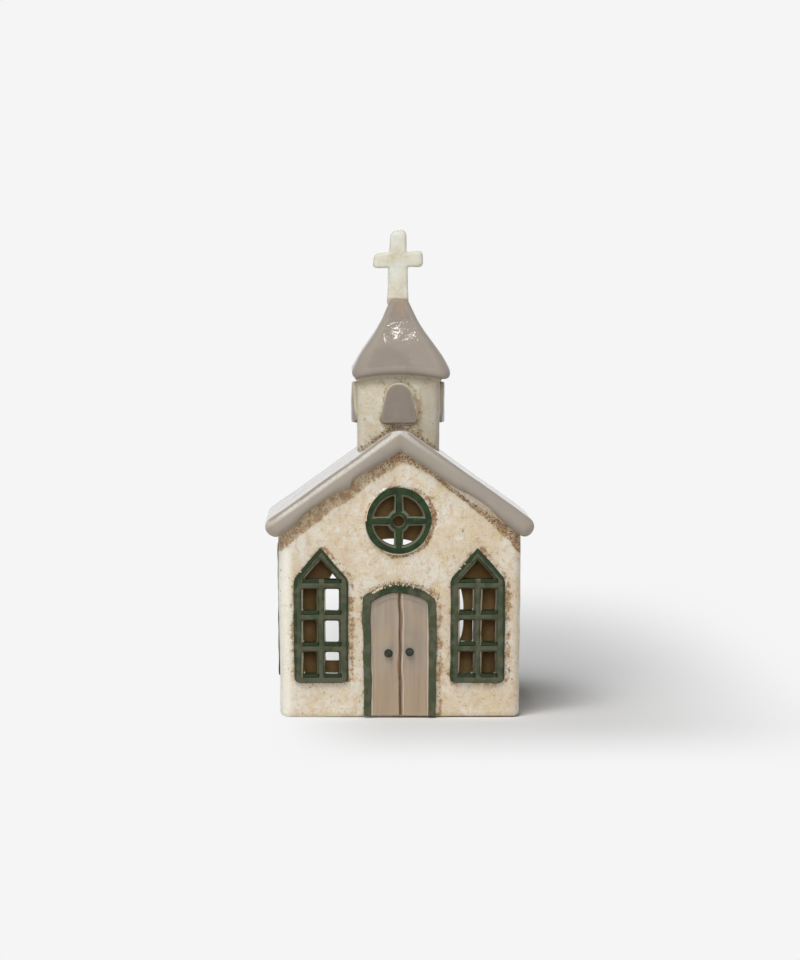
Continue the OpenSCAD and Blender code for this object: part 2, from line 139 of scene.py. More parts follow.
# Beads of cream glaze, in millimetres: x, height and radius. Heights on the crown are over the arch. Those on
# the lancets also stand for painted glints, and those on the rose are white painted highlights
LANCET_BEADS_AND_GLINTS = {
    "window_front_left": [(-44.3, 65.3, 0.35)],
    "window_front_right": [(26.8, 66.8, 0.38), (28.8, 69.0, 0.3)],
}
ROSE_GLINTS = [(-8.3, 101.2, 0.55), (-7.4, 101.9, 0.65), (-6.4, 102.3, 0.45), (-11.5, 98.4, 0.35)]
CROWN_BEADS = [
    (-12.3, 0.1, 0.32), (-11.5, 0.2, 0.45), (-10.6, 0.25, 0.4), (-9.8, 0.3, 0.5), (-9.0, 0.35, 0.42),
    (-8.2, 0.3, 0.5), (-6.6, -0.2, 0.24), (-4.7, 0.5, 0.4), (-3.9, 0.0, 0.22), (-1.7, 0.6, 0.36),
    (-0.9, 0.1, 0.26), (1.3, 0.45, 0.42), (3.1, 0.0, 0.24), (3.9, 0.6, 0.38), (6.2, 0.1, 0.28),
]

# The stage. A fade is an axis, a way along it, and where the floor begins and ends to turn pale
FLOOR_TONE = (0.95, 0.95, 0.95, 1)
FADES = ((0, -1, 0.0, 0.06), (0, 1, 0.07, 0.215), (1, -1, 0.055, 0.22), (1, 1, 0.1, 0.74))
ROOM_LIGHT, ROOM_LEVEL, AIM = (1, 1, 1, 1), 0.1, Vector((0, 0, 0.09))
CAMERA_PLACE, CAMERA_TURN, CAMERA_LENS = (-0.034, -1.698, 0.195), (90 - 3.073, 0, -1.179), 139.91


# Modelling helpers

def deselect():
    """Leaves nothing selected and nothing in edit mode."""
    if bpy.context.mode != "OBJECT":
        bpy.ops.object.mode_set(mode="OBJECT")
    bpy.ops.object.select_all(action="DESELECT")


def take(piece):
    """Makes one piece the only selected and the active one."""
    deselect()
    piece.select_set(True)
    bpy.context.view_layer.objects.active = piece
    return piece


def edit(piece, kind="FACE", whole=False):
    """Opens a piece in edit mode with nothing of it selected, or with the whole of it."""
    take(piece)
    bpy.ops.object.mode_set(mode="EDIT")
    bpy.ops.mesh.select_mode(type=kind)
    bpy.ops.mesh.select_all(action="SELECT" if whole else "DESELECT")


def done():
    bpy.ops.object.mode_set(mode="OBJECT")


def choose(piece, test, kind="FACE"):
    """Selects the faces, edges or corners of a piece that pass a test, and stays in edit mode."""
    edit(piece, kind)
    done()
    mesh = piece.data
    if kind == "FACE":
        for face in mesh.polygons:
            face.select = bool(test(face.center, face.normal))
    elif kind == "EDGE":
        for edge in mesh.edges:
            ends = [mesh.vertices[i].co for i in edge.vertices]
            edge.select = bool(test((ends[0] + ends[1]) / 2, ends[1] - ends[0]))
    else:
        for corner in mesh.vertices:
            corner.select = bool(test(corner.co))
    bpy.ops.object.mode_set(mode="EDIT")


def pull(piece, test, shift):
    """Moves the faces that pass a test."""
    choose(piece, test)
    bpy.ops.transform.translate(value=shift)
    done()


def press(piece, test, shares, kind="FACE"):
    """Narrows or widens what passes a test about its own middle."""
    choose(piece, test, kind)
    bpy.ops.transform.resize(value=shares)
    done()


def grow(piece, test, shift, shares=None, kind="FACE"):
    """Extrudes what passes a test by a shift, and may narrow or widen the new end."""
    choose(piece, test, kind)
    bpy.ops.mesh.extrude_region_move(TRANSFORM_OT_translate={"value": shift})
    if shares:
        bpy.ops.transform.resize(value=shares)
    done()


def round_corners(piece, test, radius, segments):
    """Rounds the corners of a plate that pass a test."""
    choose(piece, test, "VERT")
    bpy.ops.mesh.bevel(offset=radius, segments=segments, affect="VERTICES")
    done()


def settle(piece):
    """Moves a piece's place into its mesh, so that its object sits at the origin."""
    take(piece)
    bpy.ops.object.transform_apply(location=True, rotation=True, scale=True)
    return piece


def name_it(piece, name):
    piece.name = name
    piece.data.name = name
    return piece


def new_piece(name):
    """Names the primitive that was just added, and moves its place into its mesh."""
    return settle(name_it(bpy.context.object, name))


def shade(piece):
    take(piece)
    bpy.ops.object.shade_smooth()


def join(parts, name):
    """Joins pieces into one mesh."""
    deselect()
    for part in parts:
        part.select_set(True)
    bpy.context.view_layer.objects.active = parts[0]
    bpy.ops.object.join()
    return name_it(parts[0], name)


def copy_of(piece, name):
    """A copy of a piece with a mesh of its own."""
    twin = piece.copy()
    twin.data = piece.data.copy()
    twin.parent = None
    twin.rotation_mode = "XYZ"
    for key in list(twin.keys()):
        del twin[key]
    bpy.context.scene.collection.objects.link(twin)
    return name_it(twin, name)


def clay_slab(node):
    """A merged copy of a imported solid, ready to be shaped further."""
    slab = copy_of(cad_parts[node], node + "_slab")
    slab.data.materials.clear()
    edit(slab, whole=True)
    bpy.ops.mesh.remove_doubles(threshold=TINY)
    bpy.ops.mesh.customdata_custom_splitnormals_clear()
    done()
    return slab


def modify(piece, kind, **settings):
    made = piece.modifiers.new(kind.lower(), kind)
    for key, value in settings.items():
        setattr(made, key, value)


def apply_all(piece):
    take(piece)
    for modifier in list(piece.modifiers):
        bpy.ops.object.modifier_apply(modifier=modifier.name)
    return piece


def skin(piece, grain, rounds, swell=0.0):
    """Makes one clay body of overlapping parts, and rounds all its edges as a wet sponge does."""
    modify(piece, "REMESH", mode="VOXEL", voxel_size=grain)
    modify(piece, "SMOOTH", factor=0.5, iterations=rounds)
    if swell:
        modify(piece, "DISPLACE", direction="NORMAL", mid_level=0.0, strength=swell)
    return apply_all(piece)


def clouds(name, size, kind="GRAYSCALE"):
    """A cloud pattern for a Displace modifier."""
    pattern = bpy.data.textures.new(name, "CLOUDS")
    pattern.noise_scale, pattern.noise_depth, pattern.cloud_type = size, 1, kind
    return pattern


WAVER = clouds("waver_of_the_hand", 34 * MM, "COLOR")
WAVER_FINE = clouds("waver_of_the_tool", 11 * MM, "COLOR")
LUMPS = clouds("lumps_in_the_glaze", 6 * MM)


def by_hand(piece, waver, fine, lumps):
    """Gives a piece the slight unevenness of hand work, in millimetres, without shifting the whole of it."""
    before = corners(piece)
    waves = ((WAVER, waver, "RGB_TO_XYZ"), (WAVER_FINE, fine, "RGB_TO_XYZ"), (LUMPS, lumps, "NORMAL"))
    for pattern, high, way in waves:
        modify(
            piece, "DISPLACE", texture=pattern, texture_coords="LOCAL", direction=way,
            mid_level=0.5, strength=high * MM,
        )
    apply_all(piece)
    after = corners(piece)
    set_corners(piece, after - (after - before).mean(0))
    return piece


def read(items, what):
    """Three numbers of each corner of a mesh, as an array."""
    flat = np.empty(len(items) * 3, np.float32)
    items.foreach_get(what, flat)
    return flat.reshape(-1, 3).astype(float)


def corners(piece):
    return read(piece.data.vertices, "co")


def facings(piece):
    return read(piece.data.vertex_normals, "vector")


def set_corners(piece, places):
    piece.data.vertices.foreach_set("co", np.ascontiguousarray(places, np.float32).ravel())
    piece.data.update()


def rise(value, low, high):
    """Goes smoothly from 0 at low to 1 at high."""
    share = np.clip((value - low) / (high - low), 0, 1)
    return share * share * (3 - 2 * share)


def fall(value, low, high):
    """Goes smoothly from 1 at low to 0 at high."""
    return 1 - rise(value, low, high)


def hump(value, width):
    """One at zero, less on both sides."""
    return np.exp(-((value / width) ** 2))


def below_slope(places, ridge):
    """How far places lie below the roof slopes that fall from a ridge of this height."""
    x, _, z = np.asarray(places).T
    return (ridge - z) * math.cos(ROOF_PITCH) - np.abs(x) * math.sin(ROOF_PITCH)


def nudge(piece, spot, reach, shift):
    """Presses or draws the clay round one spot, as a finger does. All is in millimetres."""
    places = corners(piece)
    near = np.exp(-((places - np.array(spot) * MM) ** 2).sum(1) / (2 * (reach * MM) ** 2))
    set_corners(piece, places + near[:, None] * np.array(shift) * MM)


def keep_in(piece):
    """Draws a piece in where the hand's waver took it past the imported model's box."""
    places = corners(piece)
    for axis in range(3):
        low, high = cad_box[0][axis], cad_box[1][axis]
        first, last = places[:, axis].min(), places[:, axis].max()
        if first < low or last > high:
            share = (places[:, axis] - first) / (last - first)
            places[:, axis] = max(first, low) + share * (min(last, high) - max(first, low))
    set_corners(piece, places)


def narrow_to_foot(piece):
    """The house is a little narrower at its foot than under the eaves."""
    places = corners(piece)
    share = FOOT_NARROWER * fall(places[:, 2], -0.01, EAVE_H)
    places[:, :2] *= (1 - share)[:, None]
    set_corners(piece, places)


def set_on(piece, spot, hand, turn=0):
    """Sets a relief on the house and gives it the unevenness of hand work."""
    piece.location, piece.rotation_euler = spot, (0, 0, math.radians(turn))
    narrow_to_foot(settle(piece))
    return by_hand(piece, *hand)


def cut_off(piece, spot, facing):
    """Cuts a piece through with a plane, drops what lies beyond and closes the cut."""
    edit(piece, whole=True)
    bpy.ops.mesh.bisect(plane_co=spot, plane_no=facing, use_fill=True, clear_outer=True)
    done()


def part_of(whole, name, spot, *drops):
    """A part of a sponged body, parted from it by one or two planes through a spot."""
    part = copy_of(whole, name + "_part")
    for facing in drops:
        cut_off(part, spot, facing)
    return part


def cut_with(piece, cutter):
    """Cuts one block's shape out of another piece and throws the block away."""
    modify(piece, "BOOLEAN", operation="DIFFERENCE", solver="EXACT", object=cutter)
    apply_all(piece)
    bpy.data.objects.remove(cutter)
    return piece


def plate(name, wide, high, middle=(0, 0)):
    """An upright plate facing the front, with its middle at x and z."""
    bpy.ops.mesh.primitive_plane_add(size=1, location=(middle[0], 0, middle[1]), rotation=UPRIGHT)
    bpy.context.object.scale = (wide, high, 1)
    return new_piece(name)


def disc(name, radius, steps, middle=(0, 0)):
    """A round plate facing the front, with its middle at x and z."""
    bpy.ops.mesh.primitive_circle_add(
        vertices=steps, radius=radius, fill_type="NGON", location=(middle[0], 0, middle[1]), rotation=UPRIGHT
    )
    return new_piece(name)


def score(piece, spot, facing, drop=False):
    """Draws a straight line over a plate. With drop, what lies beyond the line goes."""
    edit(piece, whole=True)
    bpy.ops.mesh.bisect(plane_co=spot, plane_no=facing, clear_outer=drop)
    done()


def draw_down(sheet, level, foot):
    """Keeps what lies above a level of a plate, and draws it straight down to a foot."""
    score(sheet, (0, 0, level), (0, 0, -1), drop=True)
    grow(sheet, lambda middle, along: abs(middle.z - level) < TINY, (0, 0, foot - level), kind="EDGE")


def thicken(piece, front, back):
    """Makes a plate at y = 0 into a slab between two depths. Less is further to the front."""
    edit(piece, whole=True)
    bpy.ops.transform.translate(value=(0, front, 0))
    bpy.ops.mesh.extrude_region_move(TRANSFORM_OT_translate={"value": (0, back - front, 0)})
    bpy.ops.mesh.select_all(action="SELECT")
    bpy.ops.mesh.normals_make_consistent(inside=False)
    done()
    return piece


def ring(name, outer, inner, front, back, steps=96):
    """A flat ring that faces the front, between two depths."""
    made = disc(name, outer, steps)
    edit(made, whole=True)
    bpy.ops.mesh.inset(thickness=outer - inner)
    bpy.ops.mesh.delete(type="FACE")
    done()
    return thicken(made, front, back)


# Masks painted on the meshes

def paint(piece, name, values):
    """Keeps one number for each corner of a mesh, for its material to read. The higher of two coats stays."""
    values = values * np.ones(len(piece.data.vertices))
    layer = piece.data.attributes.get(name)
    if layer is None:
        layer = piece.data.attributes.new(name, "FLOAT", "POINT")
    else:
        before = np.empty(len(values), np.float32)
        layer.data.foreach_get("value", before)
        values = np.maximum(values, before)
    layer.data.foreach_set("value", np.ascontiguousarray(values, np.float32))


def tree_of(pieces):
    """One search tree over the faces of several pieces."""
    places, faces, start = [], [], 0
    for piece in pieces:
        spots = corners(piece)
        places.extend(map(tuple, spots))
        faces.extend(tuple(start + i for i in face.vertices) for face in piece.data.polygons)
        start += len(spots)
    return BVHTree.FromPolygons(places, faces)


def distance_to(piece, pieces, reach, shift=(0, 0, 0)):
    """For each corner, moved by a shift, how far it is from the nearest of the pieces, up to reach."""
    tree = tree_of(pieces)
    far = np.full(len(piece.data.vertices), reach)
    for i, place in enumerate(corners(piece) + shift):
        spot = tree.find_nearest(place, reach)
        if spot[0] is not None:
            far[i] = spot[3]
    return far


def near_to(piece, pieces, fade, reach=9 * MM, shift=(0, 0, 0)):
    """One where a corner, moved by a shift, touches the pieces, and less the further it lies away."""
    return np.exp(-distance_to(piece, pieces, reach, shift) / fade)


def in_from_outline(piece, base):
    """For each corner, how far it lies inside the outline along which a relief meets its base."""
    places = corners(piece)
    places[:, np.ptp(places, axis=0).argmin()] = 0
    outline = places[distance_to(piece, [base], MM) < 0.4 * MM]
    tree = KDTree(len(outline))
    for i, spot in enumerate(outline):
        tree.insert(spot, i)
    tree.balance()
    return np.array([tree.find(place)[2] for place in places])


def edge_lie(piece, rounds):
    """How far each corner stands out of its neighbours' middle: above zero on edges, below in hollows."""
    mesh = piece.data
    ends = np.empty(len(mesh.edges) * 2, np.int32)
    mesh.edges.foreach_get("vertices", ends)
    ends = ends.reshape(-1, 2)
    count = np.bincount(ends.ravel(), minlength=len(mesh.vertices)).clip(1)

    def mean(values):
        total = np.zeros_like(values)
        np.add.at(total, ends[:, 0], values[ends[:, 1]])
        np.add.at(total, ends[:, 1], values[ends[:, 0]])
        return total / (count if values.ndim == 1 else count[:, None])

    places = corners(piece)
    lie = ((places - mean(mean(places))) * facings(piece)).sum(1)
    for _ in range(rounds):
        lie = (lie + mean(lie)) / 2
    return lie


# Node helpers

def colour(red, green, blue):
    """A colour that is written as it shows on a screen, from 0 to 255, as Blender's linear one."""
    parts = [float(c) / 255 for c in (red, green, blue)]
    linear = [c / 12.92 if c <= 0.04045 else ((c + 0.055) / 1.055) ** 2.4 for c in parts]
    return (*linear, 1.0)


BACKDROP = colour(245, 245, 245)


class Bench:
    """Places and wires the nodes of one material or group."""

    def __init__(self, tree):
        self.tree = tree

    def node(self, kind, **settings):
        made = self.tree.nodes.new(kind)
        for key, value in settings.items():
            setattr(made, key, value)
        return made

    def feed(self, socket, value):
        if isinstance(value, bpy.types.NodeSocket):
            self.tree.links.new(value, socket)
        elif value is not None:
            socket.default_value = value

    def placed(self, kind, *values, **settings):
        """A node whose first sockets are fed in order."""
        made = self.node(kind, **settings)
        for socket, value in zip(made.inputs, values):
            self.feed(socket, value)
        return made

    def maths(self, what, *values):
        return self.placed("ShaderNodeMath", *values, operation=what).outputs[0]

    def times(self, first, *others):
        for other in others:
            first = self.maths("MULTIPLY", first, other)
        return first

    def mix(self, share, first, second):
        made = self.node("ShaderNodeMix", data_type="RGBA", clamp_factor=True)
        for spot, value in ((0, share), (6, first), (7, second)):
            self.feed(made.inputs[spot], value)
        return made.outputs[2]

    def span(self, value, low, high, to_low=0.0, to_high=1.0):
        """Goes smoothly from one number to another as a value goes from low to high."""
        numbers = (value, low, high, to_low, to_high)
        return self.placed("ShaderNodeMapRange", *numbers, interpolation_type="SMOOTHSTEP").outputs[0]

    def layers(self, glaze, *rows):
        """Lays tones over a glaze. A row is a value, its two ends, the tone's share at each, and the tone."""
        for value, low, high, least, most, tone in rows:
            glaze = self.mix(self.span(value, low, high, least, most), glaze, tone)
        return glaze

    def noise(self, where, size, detail=2.0, rough=0.5, bend=0.0):
        """Cloudy noise whose features are about size across."""
        made = self.node("ShaderNodeTexNoise", noise_dimensions="3D")
        names = ("Vector", "Scale", "Detail", "Roughness", "Distortion")
        for name, value in zip(names, (where, 1 / size, detail, rough, bend)):
            self.feed(made.inputs[name], value)
        return made.outputs[0]

    def cells(self, where, scale, what="F1"):
        """Cells: the distance to their middles or to their edges, and their colour."""
        made = self.node("ShaderNodeTexVoronoi", feature=what)
        self.feed(made.inputs["Vector"], where)
        self.feed(made.inputs["Scale"], scale)
        return made.outputs

    def stretched(self, where, up):
        """Places for a pattern that is drawn out along Z, where up is under 1."""
        made = self.node("ShaderNodeMapping", vector_type="POINT")
        self.feed(made.inputs["Vector"], where)
        self.feed(made.inputs["Scale"], (1.0, 1.0, up))
        return made.outputs[0]

    def parts_of(self, value, kind="XYZ"):
        """The three numbers of a place or a colour."""
        return self.placed("ShaderNodeSeparate" + kind, value).outputs

    def mask(self, name):
        return self.node("ShaderNodeAttribute", attribute_name=name).outputs["Fac"]

    def ragged(self, name, noise, reach, shift):
        """A painted mask whose border a noise makes ragged."""
        return self.maths("ADD", self.mask(name), self.maths("MULTIPLY_ADD", noise, reach, shift))

    def here(self):
        return self.node("ShaderNodeTexCoord").outputs["Object"]

    def seen(self):
        """One for the rays that see or mirror the room, or look through glass."""
        rays = self.node("ShaderNodeLightPath").outputs
        mirrored = self.maths("MAXIMUM", rays["Is Glossy Ray"], rays["Is Transmission Ray"])
        return self.maths("MAXIMUM", rays["Is Camera Ray"], mirrored)

    def finish(self, kind, share, first, second):
        """Blends two shaders and feeds them to an output."""
        blend = self.placed("ShaderNodeMixShader", share, first.outputs[0], second.outputs[0])
        self.feed(self.node(kind).inputs["Surface"], blend.outputs[0])


def group(name, inputs, outputs):
    """An empty node group with named sockets. Each is given as name, kind and usual value."""
    made = bpy.data.node_groups.new(name, "ShaderNodeTree")
    for word, kind, usual in inputs:
        socket = made.interface.new_socket(word, in_out="INPUT", socket_type="NodeSocket" + kind)
        if usual is not None:
            socket.default_value = usual
    for word, kind in outputs:
        made.interface.new_socket(word, in_out="OUTPUT", socket_type="NodeSocket" + kind)
    bench = Bench(made)
    return made, bench, bench.node("NodeGroupInput").outputs, bench.node("NodeGroupOutput").inputs


def use(bench, made, **values):
    """Places a group in a material and gives its only output."""
    placed = bench.node("ShaderNodeGroup", node_tree=made)
    for key, value in values.items():
        bench.feed(placed.inputs[key], value)
    return placed.outputs[0]


# Effects that glazes share

PLACE = ("Place", "Vector", None)


def make_room_mask():
    """One where a surface belongs to the inside of the room, which has no glaze."""
    made, b, i, o = group("room_inside", [PLACE], [("Inside", "Float")])
    wobble = b.maths("MULTIPLY_ADD", b.noise(i["Place"], 4 * MM), 2.4 * MM, -1.2 * MM)
    x, y, z = b.parts_of(i["Place"])
    slope = b.maths("MULTIPLY_ADD", b.maths("ABSOLUTE", x), math.tan(ROOF_PITCH), z)
    inside = b.span(slope, UNDER_RIDGE + 3 * MM, UNDER_RIDGE + 4 * MM, 1.0, 0.0)
    for across, half in ((x, BODY_W / 2), (y, BODY_D / 2)):
        out = b.maths("ADD", b.maths("ABSOLUTE", across), wobble)
        inside = b.times(inside, b.span(out, half - 3.6 * MM, half - 2.8 * MM, 1.0, 0.0))
    b.feed(o["Inside"], inside)
    return made


def make_crackle():
    """The fine net of cracks in a glaze, wide and narrow meshes over each other."""
    sizes = [("Mesh", "Float", 3.4 * MM), ("Width", "Float", 0.05)]
    made, b, i, o = group("crackle", [PLACE, *sizes], [("Crack", "Float")])
    drift = b.noise(i["Place"], 5 * MM).node.outputs["Color"]
    bent = b.placed("ShaderNodeVectorMath", drift, (2.2 * MM,) * 3, i["Place"], operation="MULTIPLY_ADD")
    scale = b.maths("DIVIDE", 1.0, i["Mesh"])
    nets = []
    for share, strength in ((1.0, 1.0), (2.7, 0.6)):
        net = b.cells(bent.outputs[0], b.times(scale, share), "DISTANCE_TO_EDGE")
        nets.append(b.times(b.span(net["Distance"], 0.0, b.times(i["Width"], share), 1.0, 0.0), strength))
    b.feed(o["Crack"], b.maths("MAXIMUM", *nets))
    return made


def make_specks():
    """Iron specks: a scatter of round dots, more of them where Crowd is high."""
    sizes = [("Spacing", "Float", 2 * MM), ("Largest", "Float", 0.3), ("Crowd", "Float", 0.3)]
    made, b, i, o = group("iron_specks", [PLACE, *sizes], [("Speck", "Float")])
    dots = b.cells(i["Place"], b.maths("DIVIDE", 1.0, i["Spacing"]))
    pick, size, _ = b.parts_of(dots["Color"], "Color")
    radius = b.times(i["Largest"], b.maths("MULTIPLY_ADD", size, 0.75, 0.25))
    dot = b.span(dots["Distance"], b.times(radius, 0.55), b.times(radius, 1.35), 1.0, 0.0)
    b.feed(o["Speck"], b.times(dot, b.maths("LESS_THAN", pick, i["Crowd"])))
    return made


def make_orange_peel():
    """The height of a fired glaze's surface: long waves, peel and pin holes."""
    made, b, i, o = group("glaze_surface", [PLACE, ("Peel", "Float", 0.3)], [("Height", "Float")])
    pin = b.span(b.cells(i["Place"], 1 / (2.4 * MM))["Distance"], 0.05, 0.14, -0.5, 0.0)
    peel = b.maths("ADD", b.noise(i["Place"], 1.5 * MM, 1.5), pin)
    b.feed(o["Height"], b.maths("MULTIPLY_ADD", peel, i["Peel"], b.noise(i["Place"], 9 * MM, 1.0)))
    return made


ROOM_MASK, CRACKLE, SPECKS, PEEL = make_room_mask(), make_crackle(), make_specks(), make_orange_peel()


# Glazes

def bench_of(holder):
    """Clears the nodes of a material or a world, ready for new ones."""
    holder.use_nodes = True
    holder.node_tree.nodes.clear()
    return Bench(holder.node_tree)


def new_material(name):
    """An empty material, its bench, its shader and the place on the piece."""
    made = bpy.data.materials.new(name)
    bench = bench_of(made)
    shell = bench.node("ShaderNodeBsdfPrincipled")
    bench.feed(bench.node("ShaderNodeOutputMaterial").inputs["Surface"], shell.outputs[0])
    return made, bench, shell, bench.here()


def shifted(tone):
    """Makes colours that are all shifted by a tone."""
    return lambda *rgb: colour(*np.add(rgb, tone))


def raised(bench, shell, height, depth, strength=0.8):
    """Feeds a height to the shader through a Bump node. depth is its full range in metres."""
    bump = bench.node("ShaderNodeBump")
    for name, value in {"Strength": strength, "Distance": depth, "Height": height}.items():
        bench.feed(bump.inputs[name], value)
    bench.feed(shell.inputs["Normal"], bump.outputs[0])


def raw_clay(b, place):
    """The colour of bare brown clay."""
    grog, cloud = b.noise(place, 0.9 * MM, 3.0, 0.6), b.noise(place, 14 * MM)
    tone = b.mix(b.span(cloud, 0.35, 0.65), colour(176, 144, 94), colour(206, 172, 118))
    return b.layers(tone, (grog, 0.56, 0.7, 0.0, 0.4, colour(124, 92, 58)))


def glazed_outside(b, shell, place, glaze, rough):
    """Feeds a glaze to the shader, with dull bare clay inside the room."""
    inside = use(b, ROOM_MASK, Place=place)
    b.feed(shell.inputs["Base Color"], b.mix(inside, glaze, raw_clay(b, place)))
    b.feed(shell.inputs["Roughness"], b.maths("MAXIMUM", rough, b.times(inside, 0.75)))
    return inside


def make_cream(name, tone, pale_stain, deep_stain, hard=1.0):
    """Ivory crackle glaze with iron specks. It is brown where it ran thin, as under the eaves, where the
    brown band also holds a painted shadow of the roof boards.
    """
    made, b, shell, place = new_material(name)
    toned = shifted(tone)
    cloud = b.noise(place, 19 * MM, 3.0, 0.55)
    patch = b.noise(place, 6.5 * MM, 3.0, 0.6, 0.4)
    blotch = b.noise(place, 5 * MM, 3.0, 0.6, 0.5)
    mottle = b.noise(place, 2.1 * MM, 3.0, 0.65, 0.6)
    grain = b.noise(place, 0.75 * MM, 2.0, 0.6)
    blush = b.noise(b.stretched(place, 0.7), 3.6 * MM, 3.0, 0.6, 0.3)
    glaze = b.layers(
        toned(236, 228, 210),
        (cloud, 0.38, 0.62, 0.0, 1.0, toned(229, 214, 190)),
        (patch, 0.5, 0.66, 0.0, 0.7 * min(1, hard + 0.1), toned(228, 214, 170)),
        (patch, 0.3, 0.46, 0.75, 0.0, toned(238, 235, 224)),
        (blush, 0.5, 0.68, 0.0, 0.6 * hard, toned(222, 193, 164)),
        (mottle, 0.54, 0.72, 0.0, 0.6 * hard, toned(190, 156, 114)),
        (grain, 0.56, 0.76, 0.0, 0.45 * hard, toned(194, 168, 132)),
    )
    # Pale: a painted highlight on the wall's left front corner, and a paler glaze on the cross's arms
    glaze = b.mix(b.mask("pale"), glaze, toned(254, 250, 236))
    glaze = b.mix(b.mask("grey"), glaze, toned(180, 168, 150))
    crack = use(b, CRACKLE, Place=place, Mesh=3.6 * MM, Width=0.045)
    glaze = b.mix(b.times(crack, b.span(patch, 0.35, 0.65, 0.05, 0.26)), glaze, toned(150, 112, 76))

    # The dark scorch mask also holds a painted shade along the right side of the wall's reliefs
    relief, eaves, scorch_and_shade = b.mask("near_relief"), b.mask("eaves_stain_and_shadow"), b.mask("scorch_and_shade")
    ragged = b.maths("MULTIPLY_ADD", mottle, 1.3, b.maths("MULTIPLY_ADD", patch, 1.0, -1.15))
    halo = b.span(b.maths("MULTIPLY_ADD", ragged, 1.2 * hard, relief), 0.4, 0.85)
    band = b.span(b.maths("MULTIPLY_ADD", ragged, 0.8, eaves), 0.2, 0.65)
    ochre = b.mix(b.span(blotch, 0.44, 0.58), toned(*pale_stain), toned(*deep_stain))
    # The band under the eaves: brown stain with a painted shadow of the roof boards in it
    glaze = b.mix(b.times(band, 0.85), glaze, ochre)
    ochre = b.layers(ochre, (mottle, 0.4, 0.6, 0.0, 1.0, toned(*deep_stain)))
    glaze = b.mix(b.times(halo, 0.8), glaze, ochre)
    stain = b.maths("MAXIMUM", halo, band)
    # Dark brown of stains and scorch, and of the painted shade beside the reliefs
    dark = b.maths("MULTIPLY_ADD", b.maths("MAXIMUM", stain, scorch_and_shade), 0.6 * hard, scorch_and_shade)
    dark = b.times(dark, b.span(grain, 0.4, 0.66))
    glaze = b.layers(glaze, (dark, 0.3, 0.7, 0.0, 0.85, colour(116, 80, 46)))

    crowd = b.maths("MULTIPLY_ADD", b.span(cloud, 0.45, 0.65), 0.1 * hard, 0.06 * hard)
    crowd = b.maths("MULTIPLY_ADD", b.maths("MAXIMUM", relief, eaves), 0.4 * hard, crowd)
    crowd = b.maths("MULTIPLY_ADD", scorch_and_shade, 0.6, crowd)
    upright = b.stretched(place, 0.6)
    for spacing, largest, share, tint in ((1.4, 0.26, 0.6, (150, 100, 60)), (3.1, 0.2, 0.75, (100, 64, 36))):
        speck = use(b, SPECKS, Place=upright, Spacing=spacing * MM, Largest=largest, Crowd=crowd)
        glaze = b.mix(b.times(speck, share), glaze, colour(*tint))
    glazed_outside(b, shell, place, glaze, b.span(b.maths("ADD", mottle, stain), 0.4, 1.3, 0.24, 0.42))
    height = use(b, PEEL, Place=place, Peel=0.25)
    raised(b, shell, b.maths("MULTIPLY_ADD", crack, -0.03, height), 0.2 * MM)
    return made


def make_taupe(name, tone, rim, rim_ends, depth, coat=0.0, grit=0.0, dull=0.15):
    """Thick taupe-grey glaze, glossy, with an olive and pale band of painted light along the top of the
    boards, a painted highlight line, and another tone at its rim.
    """
    made, b, shell, place = new_material(name)
    toned = shifted(tone)
    cloud = b.noise(place, 15 * MM)
    streak = b.noise(b.stretched(place, 0.35), 5 * MM, 2.0, 0.5, 0.5)
    fine = b.noise(place, 1.2 * MM)
    painted_light_band, edge, tip = [b.ragged(mask, streak, 0.8, -0.4) for mask in ("painted_light_band", "on_edge", "at_tip")]
    # The boards' top band is lighter: painted light from above
    glaze = b.layers(
        toned(163, 152, 140),
        (cloud, 0.38, 0.62, 0.0, 1.0, toned(153, 141, 130)),
        (streak, 0.52, 0.72, 0.0, 0.45, toned(166, 152, 135)),
        (fine, 0.55, 0.75, 0.0, 0.25, toned(142, 129, 116)),
        (painted_light_band, 0.2, 0.9, 0.0, 0.35, toned(176, 166, 152)),
        (edge, 0.3, 1.0, 0.0, 0.3, toned(178, 167, 151)),
    )
    # A painted highlight along the boards' top front edge
    bright = b.times(b.mask("painted_highlight_line"), b.span(fine, 0.3, 0.5, 0.5, 0.85))
    glaze = b.mix(bright, glaze, toned(236, 230, 220))
    glaze = b.layers(glaze, (tip, 0.3, 1.0, 0.0, 0.5, toned(172, 155, 136)))
    rusty = b.span(b.ragged("near_relief", streak, 0.7, -0.35), *rim_ends)
    specks = use(b, SPECKS, Place=place, Spacing=2.2 * MM, Largest=0.16, Crowd=0.12)
    glaze = b.mix(b.times(specks, 0.45), b.mix(rusty, glaze, colour(*rim)), colour(112, 88, 68))
    inside = glazed_outside(b, shell, place, glaze, b.maths("MULTIPLY_ADD", rusty, 0.25, dull))
    b.feed(shell.inputs["Coat Weight"], b.maths("MULTIPLY_ADD", inside, -coat, coat))
    b.feed(shell.inputs["Coat Roughness"], 0.1)
    height = use(b, PEEL, Place=place, Peel=0.6)
    raised(b, shell, b.maths("MULTIPLY_ADD", fine, grit, height), depth)
    return made


